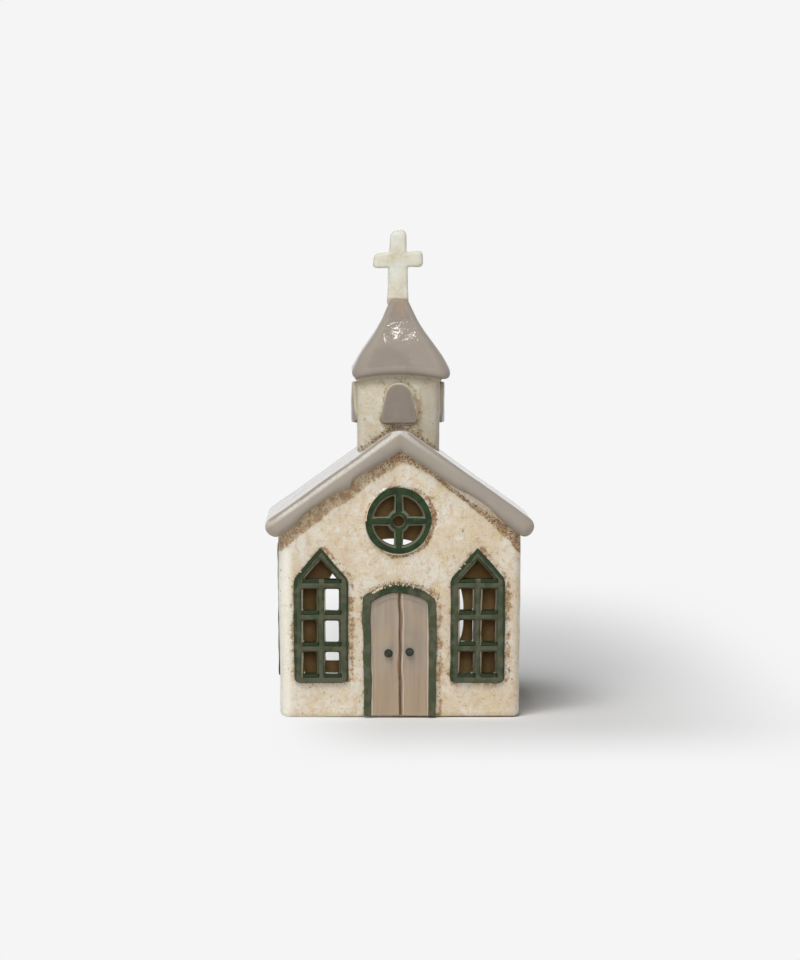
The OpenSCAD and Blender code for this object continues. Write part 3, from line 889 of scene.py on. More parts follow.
def make_green(name, flat, flat_dark, bevel, bevel_share=0.75):
    """Dark green glaze: deep at its rim, pure where it pools on a sill, of its own tone on the bevels. The
    deep tone also carries painted shade under the panes and on the knobs' tops.
    """
    made, b, shell, place = new_material(name)
    patch = b.noise(place, 4 * MM)
    fine = b.noise(place, 0.9 * MM, 2.0, 0.6)
    brown = b.mix(b.span(patch, 0.45, 0.55), colour(58, 56, 30), colour(96, 82, 46))
    bead_and_highlight = b.mask("bead_and_highlight")
    glaze = b.layers(
        colour(*flat),
        (patch, 0.4, 0.6, 0.0, 1.0, colour(*flat_dark)),
        (b.mask("bevel"), 0.3, 0.8, 0.0, bevel_share, colour(*bevel)),
        # Deep green at rims, which also holds painted shade under the panes and on the knobs' tops
        (b.ragged("deep", patch, 1.2, -0.6), 0.3, 0.8, 0.0, 0.9, colour(32, 50, 23)),
        (b.mask("sill"), 0.25, 0.75, 0.0, 0.9, colour(22, 42, 8)),
        (b.ragged("near_relief", fine, 1.4, -0.8), 0.4, 0.9, 0.0, 0.85, brown),
    )
    # Cream beads of glaze; above 1 the mask turns white as a painted highlight
    glaze = b.mix(bead_and_highlight, glaze, colour(236, 224, 192))
    glaze = b.layers(glaze, (bead_and_highlight, 1.0, 2.0, 0.0, 1.0, colour(254, 252, 246)))
    b.feed(shell.inputs["Base Color"], glaze)
    b.feed(shell.inputs["Specular IOR Level"], 0.3)
    b.feed(shell.inputs["Roughness"], b.span(fine, 0.3, 0.7, 0.13, 0.24))
    raised(b, shell, use(b, PEEL, Place=place, Peel=0.3), 0.2 * MM)
    return made


def make_door():
    """Taupe door glaze with upright streaks from the brush, brown in the groove between the leaves."""
    made, b, shell, place = new_material("door_glaze_brushed")
    wide = b.noise(b.stretched(place, 0.08), 4.6 * MM, 2.0, 0.5, 0.3)
    fine = b.noise(b.stretched(place, 0.05), 1.2 * MM, 2.0, 0.6)
    glaze = b.layers(
        colour(174, 158, 139),
        (wide, 0.36, 0.64, 0.0, 1.0, colour(158, 144, 130)),
        (fine, 0.5, 0.74, 0.0, 0.45, colour(148, 129, 110)),
        (b.noise(place, 10 * MM), 0.48, 0.66, 0.0, 0.4, colour(178, 154, 124)),
        (b.parts_of(place)[2], 8 * MM, 32 * MM, 0.45, 0.0, colour(176, 150, 118)),
        (b.mask("on_edge"), 0.25, 0.9, 0.0, 0.15, colour(196, 182, 162)),
    )
    glaze = b.layers(
        # Painted shade under the arch, on the recessed leaves
        b.mix(b.mask("arch_painted_shade"), glaze, colour(146, 132, 118)),
        (b.ragged("near_relief", fine, 0.7, -0.35), 0.4, 0.8, 0.0, 0.9, colour(128, 95, 71)),
        # Painted highlight lines along the leaves' lit edges
        (b.mask("leaf_highlight_lines"), 0.3, 0.8, 0.0, 0.85, colour(226, 208, 180)),
    )
    b.feed(shell.inputs["Base Color"], glaze)
    b.feed(shell.inputs["Roughness"], b.span(fine, 0.3, 0.7, 0.3, 0.42))
    raised(b, shell, b.maths("MULTIPLY_ADD", fine, 0.35, b.times(wide, 0.6)), 0.16 * MM)
    return made


def make_raw():
    """Bare brown clay of the floor."""
    made, b, shell, place = new_material("bare_clay_brown")
    b.feed(shell.inputs["Base Color"], raw_clay(b, place))
    b.feed(shell.inputs["Roughness"], b.span(b.noise(place, 2 * MM), 0.3, 0.7, 0.7, 0.85))
    raised(b, shell, b.noise(place, 0.8 * MM, 3.0, 0.6), 0.15 * MM, 0.7)
    return made


RUST, RUST_ENDS, SPIRE_RUST_ENDS = (158, 124, 94), (0.45, 1.0, 0.0, 0.7), (0.35, 1.0, 0.0, 0.6)
CREAM = make_cream("cream_glaze_crackled", (-5, -6, -7), (202, 183, 150), (166, 130, 90))
CREAM_BELFRY = make_cream("cream_glaze_belfry", (-12, -8, -8), (198, 184, 158), (160, 138, 110), 0.6)
CREAM_CROSS = make_cream("cream_glaze_cross", (-12, -6, -4), (200, 182, 154), (186, 164, 136), 0.25)
TAUPE = make_taupe("taupe_glaze_thick", -6, RUST, RUST_ENDS, 0.1 * MM, coat=0.4)
TAUPE_SPIRE = make_taupe("taupe_glaze_spire", -6, RUST, SPIRE_RUST_ENDS, 0.09 * MM, grit=0.8, dull=0.08)
TAUPE_BELLS = make_taupe("taupe_glaze_bells", -12, (206, 196, 168), (0.3, 0.8, 0.0, 0.85), 0.14 * MM)
GREEN = make_green("green_glaze_dark", (86, 87, 66), (66, 74, 50), (96, 95, 76), 0.6)
GREEN_ROSE = make_green("green_glaze_deep", (38, 60, 22), (24, 42, 15), (122, 122, 104), 0.85)
GREEN_KNOBS = make_green("green_glaze_knobs", (60, 67, 55), (44, 52, 42), (52, 60, 48))
DOOR = make_door()
RAW = make_raw()


# Walls

def back_panel(name, wide, low, high, grow_by):
    """A block round the way in at the back, as thick as the wall or thicker at both sides."""
    made = plate(name, wide, high - low, (BACK_X, (low + high) / 2))
    return thicken(made, BODY_D / 2 - WALL_T - grow_by, BODY_D / 2 + grow_by)


def cut_the_way_in(wall):
    """The arched way in: straight jambs under a round arch, its right lower corner widely rounded."""
    cut_with(wall, back_panel("old_panel", 76 * MM, 12 * MM, 79 * MM, 4 * MM))
    panel = back_panel("new_panel", 77 * MM, 11.5 * MM, 79.5 * MM, 0)
    arch = disc("way_in", BACK_R, 128, (BACK_X, BACK_Z))
    draw_down(arch, BACK_Z, BACK_SILL)
    for side, radius in zip((-1, 1), BACK_CORNERS):
        spot = Vector((BACK_X + side * BACK_R, 0, BACK_SILL))
        round_corners(arch, lambda place: (place - spot).length < 10 * TINY, radius, 10)
    cut_with(panel, thicken(arch, BODY_D / 2 - 9 * MM, BODY_D / 2 + 4 * MM))
    return join([wall, panel], wall.name)


def make_walls():
    """The four wall slabs, luted and sponged as one shell, then told apart along their mitres."""
    def is_top(middle, facing):
        return facing.z > 0.5 and abs(below_slope(middle, UNDER_RIDGE)) < 3.2 * MM

    slabs = [clay_slab(n) for n in ("front_wall", "back_wall", "left_wall", "right_wall")]
    for slab in slabs:
        pull(slab, is_top, (0, 0, WALL_INTO))
    slabs[1] = cut_the_way_in(slabs[1])
    shell = skin(join(slabs, "wall_shell"), grain=0.8 * MM, rounds=4)
    narrow_to_foot(shell)
    level = corners(shell)[:, 2]
    by_hand(shell, 0.6, 0.25, 0.14)
    places = corners(shell)
    places[:, 2] += fall(level, MM, 6 * MM) * (level - places[:, 2])
    drawn = FOOT_SOFT - np.sqrt(FOOT_SOFT**2 - (FOOT_SOFT - level.clip(0, FOOT_SOFT)) ** 2)
    for axis, half in enumerate((BODY_W / 2, BODY_D / 2)):
        outer = rise(np.abs(places[:, axis]), half - 4.5 * MM, half - 1.5 * MM)
        places[:, axis] -= np.sign(places[:, axis]) * outer * drawn
    set_corners(shell, places)
    keep_in(shell)
    shade(shell)
    lead = (BODY_W - BODY_D) / 2
    mitres = {
        "front_wall": ((0, lead, 0), (1, 1, 0), (-1, 1, 0)),
        "back_wall": ((0, -lead, 0), (1, -1, 0), (-1, -1, 0)),
        "right_wall": ((lead, 0, 0), (-1, 1, 0), (-1, -1, 0)),
        "left_wall": ((-lead, 0, 0), (1, 1, 0), (1, -1, 0)),
    }
    return shell, {name: part_of(shell, name, *cuts) for name, cuts in mitres.items()}


# Roof and belfry

def hang_runs(piece):
    """The roof's lower edge wavers at both gable ends, where thick glaze ran, and the ends are rounded."""
    places = corners(piece)
    x, y, _ = places.T
    below = below_slope(places, RIDGE_TOP)
    hang = np.interp(x / MM, *ROOF_EDGE) * MM
    low = rise(below, 0.45 * ROOF_T, ROOF_T)
    behind = np.where(hang < 0, 38.5 * MM, BODY_D / 2)
    share = low * np.clip((np.abs(y) - behind) / (3 * MM), 0, 1)
    places[:, 0] -= np.sign(x) * rise(np.abs(x), 0, 6 * MM) * math.sin(ROOF_PITCH) * hang * share
    places[:, 2] -= math.cos(ROOF_PITCH) * hang * share
    across = 2 * below / (ROOF_T + hang) - 1
    end = rise(np.abs(y), BODY_D / 2 + MM, BODY_D / 2 + 4.5 * MM)
    places[:, 1] -= np.sign(y) * BOARD_ROUND * end * across**2
    set_corners(piece, places)


def make_roof():
    """The two roof slabs, luted and rounded as one, then parted at the ridge."""
    whole = join([clay_slab("roof_left"), clay_slab("roof_right")], "roof_whole")
    skin(whole, grain=0.7 * MM, rounds=5, swell=0.1 * MM)
    by_hand(whole, 0.7, 0.4, 0.1)
    hang_runs(whole)
    keep_in(whole)
    shade(whole)
    sides = (("roof_left", 1), ("roof_right", -1))
    return whole, {name: part_of(whole, name, (0, 0, 0), (side, 0, 0)) for name, side in sides}


def droop(piece):
    """The belfry's corners hang lower than the middles of its sides."""
    places = corners(piece)
    high = places[:, 2]
    near = rise(high, TOWER_TOP - 9 * MM, TOWER_TOP) * fall(high, SPIRE_BASE, SPIRE_BASE + 12 * MM)
    out = np.abs(places[:, :2]) / (SPIRE_W / 2)
    corner = (out[:, 0] * out[:, 1]) ** 2
    places[:, 2] += near * (MIDDLE_LIFT - (CORNER_DROOP + MIDDLE_LIFT) * corner)
    set_corners(piece, places)


def flare(piece):
    """Spreads the cornice from the tower out to the spire's lip."""
    places = corners(piece)
    out, high = np.abs(places[:, :2]).max(1), places[:, 2]
    level = np.round((high - high.min()) / (0.4 * MM)).astype(int)
    reach = np.zeros(level.max() + 1)
    np.maximum.at(reach, level, out)
    up = np.clip((high - TOWER_TOP) / (SPIRE_BASE - TOWER_TOP), 0, 1)
    aim = CORNICE_IN + (CORNICE_OUT - CORNICE_IN) * up**2
    share = rise(high, TOWER_TOP - 1.5 * MM, TOWER_TOP) * (out > 15.5 * MM)
    places[:, :2] *= (1 + share * (aim / reach[level] - 1))[:, None]
    set_corners(piece, places)


def make_belfry():
    """Tower and cornice as one sponged body, parted where the cornice begins."""
    tower, cornice = clay_slab("belfry_tower"), clay_slab("belfry_cornice")
    pull(tower, lambda middle, facing: facing.z < -0.3, (0, 0, -INTO))
    pull(cornice, lambda middle, facing: facing.z > 0.9, (0, 0, INTO / 2))
    whole = join([tower, cornice], "belfry_whole")
    skin(whole, grain=0.6 * MM, rounds=5, swell=0.1 * MM)
    flare(whole)
    droop(whole)
    by_hand(whole, 0.7, 0.4, 0.14)
    shade(whole)
    sides = (("belfry_tower", 1), ("belfry_cornice", -1))
    return whole, {name: part_of(whole, name, (0, 0, TOWER_TOP), (0, 0, side)) for name, side in sides}


def fill_out(piece):
    """The spire's faces swell between its ridges, its neck draws in and it leans a little."""
    places = corners(piece)
    up = (places[:, 2] - SPIRE_BASE) / (SPIRE_TOP - SPIRE_BASE)
    flat = np.abs(places[:, :2])
    reach = flat.max(1).clip(MM)
    pillow = np.where(flat[:, 0] > flat[:, 1], PILLOW_SIDE, PILLOW_FRONT)
    swell = pillow * (1 - (flat.min(1) / reach) ** 2) * rise(up, 0.08, 0.38) * fall(up, 0.42, 0.85)
    neck = SPIRE_NECK * rise(up, 0.25, 0.8)
    outside = reach > (1 - up) * SPIRE_W / 2 * 0.8
    swell = np.where(outside, swell / reach, 0)
    places[:, 0] *= 1 - neck + swell
    places[:, 1] *= 1 - NECK_SHARE_IN_DEPTH * neck + swell
    places[:, 0] += SPIRE_LEAN * (1 - 0.55 * np.clip(up, 0, 1))
    set_corners(piece, places)


def make_spire():
    spire = clay_slab("spire")

    def is_tip(middle, facing):
        return facing.z > 0.9 and middle.z > SPIRE_TOP - MM

    choose(spire, is_tip)
    bpy.ops.transform.translate(value=(0, 0, 1.4 * MM))
    bpy.ops.transform.resize(value=(0.8, 0.8, 1))
    done()
    skin(spire, grain=0.6 * MM, rounds=5, swell=0.15 * MM)
    fill_out(spire)
    droop(spire)
    return by_hand(spire, 0.6, 0.3, 0.1)


def make_cross():
    """The cross, drawn out of one block of clay and softened. Its right arm is the thicker one."""
    top, foot = cad_box[1].z, SPIRE_TOP - 1.2 * MM
    low, high = top - ARM_DOWN - ARM_H / 2, top - ARM_DOWN + ARM_H / 2
    middle = (low + high) / 2
    bpy.ops.mesh.primitive_cube_add(size=1, location=(0, 0, middle))
    bpy.context.object.scale = (STEM_W, STEM_D, ARM_H)
    cross = new_piece("cross_block")

    def is_top(middle, facing):
        return facing.z > 0.9

    def is_foot(middle, facing):
        return facing.z < -0.9

    press(cross, is_top, (0.86, 1, 1))
    grow(cross, is_top, (0, 0, (top - high) * 0.8), (0.97, 0.95, 1))
    grow(cross, is_top, (0, 0, (top - high) * 0.2), (0.7, 0.75, 1))
    grow(cross, is_foot, (0, 0, (foot - low) * 0.55), (1, 1, 1))
    grow(cross, is_foot, (0, 0, (foot - low) * 0.45), (1.1, 1.1, 1))
    reach = ARM_SPAN / 2 - STEM_W / 2
    for side in (-1, 1):
        def is_end(middle, facing, side=side):
            return facing.x * side > 0.7 and low < middle.z < high
        grow(cross, is_end, (side * reach * 0.8, 0, 0), (1, 0.95, 1))
        grow(cross, is_end, (side * reach * 0.2, 0, 0), (1, 0.8, 1))
        press(cross, is_end, (1, 1, 0.8))
    edit(cross, "EDGE", whole=True)
    bpy.ops.mesh.bevel(offset=1.3 * MM, segments=2, affect="EDGES", clamp_overlap=True)
    done()
    skin(cross, grain=0.35 * MM, rounds=9, swell=0.3 * MM)
    arm, stem, level, end = ARM_SPAN / 2 / MM, STEM_W / 2 / MM, middle / MM, top / MM
    nudge(cross, (-arm, 0, level), 4, (0, 0, -0.7))
    nudge(cross, (arm, 0, level + 2), 4, (0, 0, 1.0))
    nudge(cross, (arm, 0, level - 3), 3, (0, 0, -0.5))
    nudge(cross, (-stem, 0, end), 3, (0.4, 0, -0.5))
    by_hand(cross, 0.6, 0.7, 0.12)
    keep_in(cross)
    return cross


def make_bells():
    """A bell relief for each side of the tower. The front one is modelled and the others are copies."""
    bell = clay_slab("bell_front")
    pull(bell, lambda middle, facing: facing.y > 0.9, (0, INTO, 0))
    skin(bell, grain=0.35 * MM, rounds=16, swell=0.25 * MM)
    places = corners(bell)
    places[:, 0] *= 1 + 0.02 * rise(places[:, 2], 130 * MM, 138 * MM)
    set_corners(bell, places)
    bells = {}
    for name, turn in (("bell_front", 0), ("bell_right", 90), ("bell_back", 180), ("bell_left", 270)):
        one = copy_of(bell, name + "_part")
        one.rotation_euler = (0, 0, math.radians(turn))
        bells[name] = by_hand(settle(one), 0.7, 0.4, 0.1)
    bpy.data.objects.remove(bell)
    return bells


# Windows

def lancet_plate(name, inset, side_wider=0, top_wider=0, sill_wider=0):
    """A pointed plate with seven panes cut out, drawn in all round by inset. Its panes may be cut wider."""
    half = LANCET_W / 2 - inset
    apex = LANCET_H - inset / math.cos(HEAD_SLOPE)
    board = plate(name, 2 * half, LANCET_H - inset, (0, (LANCET_H + inset) / 2))
    shoulder = LANCET_H - HEAD_H
    jamb, bar = LANCET_W / 2 - FRAME_B + side_wider, MULLION_B / 2 - side_wider
    low_apex = LANCET_H - (HEAD_B - side_wider) / math.cos(HEAD_SLOPE)
    for side in (-1, 1):
        out = (side * math.sin(HEAD_SLOPE), 0, math.cos(HEAD_SLOPE))
        score(board, (0, 0, apex), out, drop=True)
        score(board, (0, 0, low_apex), out)
        score(board, (side * jamb, 0, 0), (1, 0, 0))
        score(board, (side * bar, 0, 0), (1, 0, 0))
    levels = [(low - sill_wider, low + PANE_H + top_wider) for low in ROW_FEET]
    head = shoulder - sill_wider
    for level in {h for pair in levels for h in pair} | {head, shoulder}:
        score(board, (0, 0, level), (0, 0, 1))

    def in_pane(middle, facing):
        across = abs(middle.x)
        row = any(low < middle.z < high for low, high in levels)
        in_head = middle.z > head and middle.z + across * math.tan(HEAD_SLOPE) < low_apex and across < jamb
        return (bar < across < jamb and row) or in_head

    choose(board, in_pane)
    bpy.ops.mesh.delete(type="FACE")
    done()
    for level, radius in ((inset, FOOT_ROUND - inset), (shoulder, SHOULDER_ROUND)):
        def at_side(place, level=level):
            return abs(place.z - level) < TINY and abs(place.x) > half - TINY
        round_corners(board, at_side, radius, 4)
    return board


def make_lancet():
    """A lancet frame at the origin: a lapping front with wider panes, and a body that fills the opening."""
    front = lancet_plate("lancet_front", 0, REVEAL, REVEAL_TOP, REVEAL_SILL)
    thicken(front, -FRAME_PROUD, LAP_IN)
    body = thicken(lancet_plate("lancet_body", BODY_INSET), -FRAME_PROUD + REVEAL_DEEP, BODY_END)
    return skin(join([front, body], "lancet_frame"), grain=0.36 * MM, rounds=8, swell=0.16 * MM)


def make_windows():
    """The four lancet windows: one frame is modelled, and each window is a copy of it."""
    lancet = make_lancet()
    side = BODY_W / 2 - SIDE_SUNK
    spots = {
        "window_front_left": ((-LANCET_X - LEFT_SLIP, FACE, LANCET_Z), 0),
        "window_front_right": ((LANCET_X, FACE, LANCET_Z), 0),
        "window_left_side": ((-side, 0, LANCET_Z), -90),
        "window_right_side": ((side, 0, LANCET_Z), 90),
    }
    windows = {}
    for name, (spot, turn) in spots.items():
        windows[name] = set_on(copy_of(lancet, name + "_part"), spot, (0.7, 0.6, 0.1), turn)
    bpy.data.objects.remove(lancet)
    return windows


def rose_spokes(wide, front, back):
    """The four spokes, each a little wider where it meets the hub."""
    outer = ROSE_D / 2
    gap = (HUB_D / 2 + outer - ROSE_RING_B) / 2
    long = outer - ROSE_RING_B - HUB_D / 2 + 2 * MM
    spokes = []
    for turn in range(4):
        spoke = thicken(plate("rose_spoke", wide, long, (0, gap)), front, back)
        press(spoke, lambda middle, facing: facing.z < -0.9, (SPOKE_FLARE, 1, 1))
        spoke.rotation_euler = (0, math.radians(90 * turn), 0)
        spokes.append(settle(spoke))
    return spokes


def make_rose():
    """The rose window: a ring, a hub with a bore and four spokes, all with a step round the panes."""
    outer, front, back = ROSE_D / 2, -FRAME_PROUD, BODY_END
    step = front + REVEAL_DEEP
    parts = [
        ring("rose_rim", outer, outer - ROSE_RING_B + ROSE_STEP, front, LAP_IN),
        ring("rose_wall", outer - BODY_INSET, outer - ROSE_RING_B, step, back),
        ring("rose_hub", HUB_D / 2 - ROSE_STEP, HUB_BORE / 2 + 0.3 * MM, front, back, 48),
        ring("rose_hub_step", HUB_D / 2, HUB_BORE / 2, step, back, 48),
        *rose_spokes(SPOKE_B - 2 * ROSE_STEP, front, back),
        *rose_spokes(SPOKE_B, step, back),
    ]
    rose = skin(join(parts, "rose_window_part"), grain=0.33 * MM, rounds=6, swell=0.12 * MM)
    rose.scale = (ROSE_NARROWER, 1, 1)
    return set_on(rose, Vector((0, FACE, ROSE_Z)) + Vector(ROSE_MOVE), (0.7, 0.5, 0.12))


def add_beads(piece, spots, seed, white=1.0):
    """Sets beads of cream glaze along a rim. At 2 they are white, a painted highlight."""
    rng = np.random.default_rng(seed)
    places = corners(piece)
    parts, beads = [piece], []
    for x, z, radius in spots:
        slip = rng.uniform(-0.2, 0.2, 2)
        place = np.array([(x + slip[0]) * MM, 0, (z + slip[1]) * MM])
        near = np.abs(places[:, [0, 2]] - place[[0, 2]]).max(1) < 0.9 * MM
        place[1] = places[near, 1].min() + 0.1 * MM if near.any() else FACE - 0.8 * MM
        bpy.ops.mesh.primitive_uv_sphere_add(segments=14, ring_count=9, radius=radius * MM, location=place)
        parts.append(settle(bpy.context.object))
        beads.append((place, radius * MM))
    places = corners(join(parts, piece.name))
    mark = np.zeros(len(places))
    for place, radius in beads:
        mark = np.maximum(mark, fall(np.linalg.norm(places - place, axis=1), radius, 1.25 * radius))
    paint(piece, "bead_and_highlight", white * mark)


# Door

def door_sheet(name, inset, below=12 * MM):
    """A door-shaped sheet with a flat arch on top, drawn in by inset. It reaches below the ground."""
    sheet = disc(name, DOOR_ARCH_R - inset, 256, (0, DOOR_SPRING))
    for side in (-1, 1):
        score(sheet, (side * (DOOR_W / 2 - inset), 0, 0), (side, 0, 0), drop=True)
    draw_down(sheet, DOOR_SPRING, -below)
    return sheet


def make_surround():
    """The band round the door, set on the wall and open at the ground."""
    band = thicken(door_sheet("door_band", 0), -SURROUND_PROUD, 1.4 * MM)
    cut_with(band, thicken(door_sheet("door_hole", SURROUND_B), -9 * MM, 9 * MM))
    cut_off(band, (0, 0, DOOR_SILL), (0, 0, -1))
    skin(band, grain=0.4 * MM, rounds=7, swell=0.14 * MM)
    set_on(band, (0, FACE, 0), (0.8, 0.9, 0.14))
    half, face, shoulder = DOOR_W / 2 / MM, FACE / MM, DOOR_H / MM - 4
    nudge(band, (-half, face, 46), 4, (-1.0, 0, 0))
    nudge(band, (-half, face, shoulder), 2.5, (-0.3, 0, 1.2))
    nudge(band, (half, face, shoulder), 3, (-0.6, 0, -0.4))
    return band


def make_leaf(side):
    """A door leaf in its recess, with the raised edge that runs up its outer side and along the arch."""
    leaf = thicken(door_sheet("door_leaf", SURROUND_B - 0.6 * MM), LEAF_FRONT, DOOR_RECESS + 0.6 * MM)
    cut_off(leaf, (side * LEAF_GAP / 2, 0, 0), (-side, 0, 0))
    cut_off(leaf, (0, 0, DOOR_SILL), (0, 0, -1))
    hollow = door_sheet("door_panel", SURROUND_B + 2.3 * MM)
    thicken(hollow, LEAF_FRONT - 3 * MM, LEAF_FRONT + 0.3 * MM)
    cut_off(hollow, (side * (LEAF_GAP / 2 + 0.9 * MM), 0, 0), (-side, 0, 0))
    cut_with(leaf, hollow)
    skin(leaf, grain=0.4 * MM, rounds=5, swell=0.1 * MM)
    return set_on(leaf, (0, FACE, 0), (0.7, 0.5, 0.12))


def make_knob(side):
    """A knob: a ball of clay pressed on its leaf, with a spread foot."""
    bpy.ops.mesh.primitive_uv_sphere_add(segments=32, ring_count=20, radius=KNOB_D / 2, rotation=UPRIGHT)
    knob = new_piece("door_knob")
    press(knob, lambda place: place.y > 0.3 * MM, (1.12, 0.8, 1.12), "VERT")
    cut_off(knob, (0, KNOB_OUT, 0), (0, 1, 0))
    grow(knob, lambda middle, facing: facing.y > 0.9, (0, 0.5 * MM, 0), (1.15, 1, 1.15))
    skin(knob, grain=0.2 * MM, rounds=4, swell=0.05 * MM)
    x, z = KNOB_SPOTS[side]
    return set_on(knob, (x, FACE + LEAF_FRONT - KNOB_OUT + 0.45 * MM, z), (0.7, 0.5, 0.3))


# Stains and glaze

def stain_wall(wall, reliefs, surround):
    """A wall is stained beside its reliefs and under the eaves, where a painted shadow of the roof boards
    lies too. It has a painted highlight at its left front corner and is scorched in places, with a thin
    painted shade along the right side of each relief.
    """
    places = corners(wall)
    x, y, z = places.T
    near = near_to(wall, reliefs, 1.7 * MM)
    beside = near_to(wall, reliefs, 1.5 * MM, shift=(-1.8 * MM, 0, -0.3 * MM))
    across, up = x - ROSE_MOVE[0], z - ROSE_Z - ROSE_MOVE[2]
    turn, from_rose = np.arctan2(up, across), np.hypot(across, up) - ROSE_D / 2
    arc = rise(turn, -2.2, -1.7) * fall(turn, 0.3, 0.8) * (y < 0) * hump(from_rose - 0.7 * MM, 1.1 * MM)
    paint(wall, "near_relief", np.maximum.reduce([0.7 * near, 0.87 * beside, 0.9 * arc]))
    below = below_slope(places, UNDER_RIDGE)
    start, end = [np.interp(x / MM, EAVES_STAIN_AND_SHADOW_ENDS[0], row) * MM for row in EAVES_STAIN_AND_SHADOW_ENDS[1:]]
    band = rise(below, start - 0.6 * MM, start + 0.6 * MM) * fall(below, end - 1.6 * MM, end + 1.4 * MM)
    # Band under the eaves: brown stain, and on the left, where it hangs deeper, a painted shadow of the left
    # roof board
    paint(wall, "eaves_stain_and_shadow", band * (1 - 0.25 * rise(below, start, end) * (x < 4 * MM)))
    # Painted highlight along the left front corner, which faces the light
    left_front = fall(x, -50 * MM, -46.8 * MM) * rise(-y, 34 * MM, 41 * MM)
    paint(wall, "pale", 0.95 * left_front * fall(z, EAVE_H - 7 * MM, EAVE_H - 3 * MM))
    apex = hump(x, 9 * MM) * fall(below, MM, 6 * MM)
    corner = rise(x, 40 * MM, 50 * MM) * fall(below, 3 * MM, 9 * MM)
    right_line = band * rise(x, 4 * MM, 10 * MM)
    crown = np.minimum(1, 1.3 * near_to(wall, [surround], 1.4 * MM)) * rise(z, 55 * MM, 59 * MM)
    # A thin painted shade along the right side of each relief, away from the light
    shade_right_of_reliefs = near_to(wall, reliefs, 0.5 * MM, 4 * MM, (-0.7 * MM, 0, 0))
    dark_marks = [0.75 * apex, 0.55 * corner, 0.5 * right_line, crown, 0.5 * shade_right_of_reliefs, 0.6 * arc]
    paint(wall, "scorch_and_shade", np.maximum.reduce(dark_marks))


def stain_tower(tower, bells, roof):
    """The tower is stained beside its bells and over the roof, and grey to the right and at its top."""
    x, _, z = corners(tower).T
    near = near_to(tower, bells, 1.3 * MM)
    beside = near_to(tower, bells, 1.3 * MM, shift=(-1.4 * MM, 0, 0))
    roof_gap = distance_to(tower, [roof], 12 * MM)
    foot, line, below_bell = [np.exp(-roof_gap / (fade * MM)) for fade in (3.6, 1.6, 5)]
    smoke = hump(x - 9.3 * MM, 2.4 * MM) * fall(z, TOWER_TOP - 10 * MM, TOWER_TOP - 3 * MM)
    top = rise(z, TOWER_TOP - 3 * MM, TOWER_TOP)
    paint(tower, "near_relief", np.maximum.reduce([0.75 * near, beside, 0.85 * foot, 0.9 * smoke]))
    paint(tower, "scorch_and_shade", np.maximum(0.8 * line, 1.1 * below_bell * hump(x, 10 * MM)))
    paint(tower, "eaves_stain_and_shadow", CORNICE_STAIN * top)
    paint(tower, "grey", np.maximum(0.6 * rise(x, 3 * MM, 14 * MM), CORNICE_GREY * top))


def stain_spire(spire):
    """Rust round the spire's neck, and a run of it down the front."""
    x, _, z = corners(spire).T
    neck = rise(z, SPIRE_TOP - 3 * MM, SPIRE_TOP - 0.8 * MM)
    trail = hump(x - 0.5 * SPIRE_LEAN, 2 * MM) * rise(z, SPIRE_TOP - 13 * MM, SPIRE_TOP - 2 * MM)
    paint(spire, "near_relief", np.maximum(0.6 * neck, 0.75 * trail))


def stain_roof(slab):
    """A roof slab has a band of painted light along its top and is paler at its eaves, with a painted
    highlight line along its top front edge.
    """
    places = corners(slab)
    x, y, _ = places.T
    below = below_slope(places, RIDGE_TOP)
    paint(slab, "at_tip", 0.9 * rise(np.abs(x), 46 * MM, 57 * MM))
    # Painted light: the top of each board is lighter, as light falls on its rounded top
    paint(slab, "painted_light_band", fall(below, 0.2 * ROOF_T, 0.6 * ROOF_T))
    # Painted highlight line along the top front edge, strongest on the left board
    sharp = rise(edge_lie(slab, 3) / (0.02 * MM), 0.5, 1.3) * (np.abs(y) > BODY_D / 2)
    side = np.exp(-np.maximum(x, 0) / (12 * MM))
    paint(slab, "painted_highlight_line", 0.9 * sharp * side * fall(below, 0.05 * ROOF_T, 0.2 * ROOF_T))


def stain_bell(bell, tower):
    """A cream rim round a bell's dome."""
    z = corners(bell)[:, 2]
    lip = 0.35 * MM + 0.4 * MM * rise(z, 139 * MM, 145 * MM)
    rim = fall(in_from_outline(bell, tower) - lip, -0.3 * MM, 0.3 * MM)
    paint(bell, "near_relief", rim * rise(z, 128 * MM, 138 * MM))


def glaze_rim(piece, shell):
    """Brown where a relief meets the wall. Gives how near each corner is to it."""
    gap = distance_to(piece, [shell], 3 * MM)
    paint(piece, "near_relief", np.exp(-gap / (0.35 * MM)))
    return 0.75 * np.exp(-gap / (0.9 * MM))


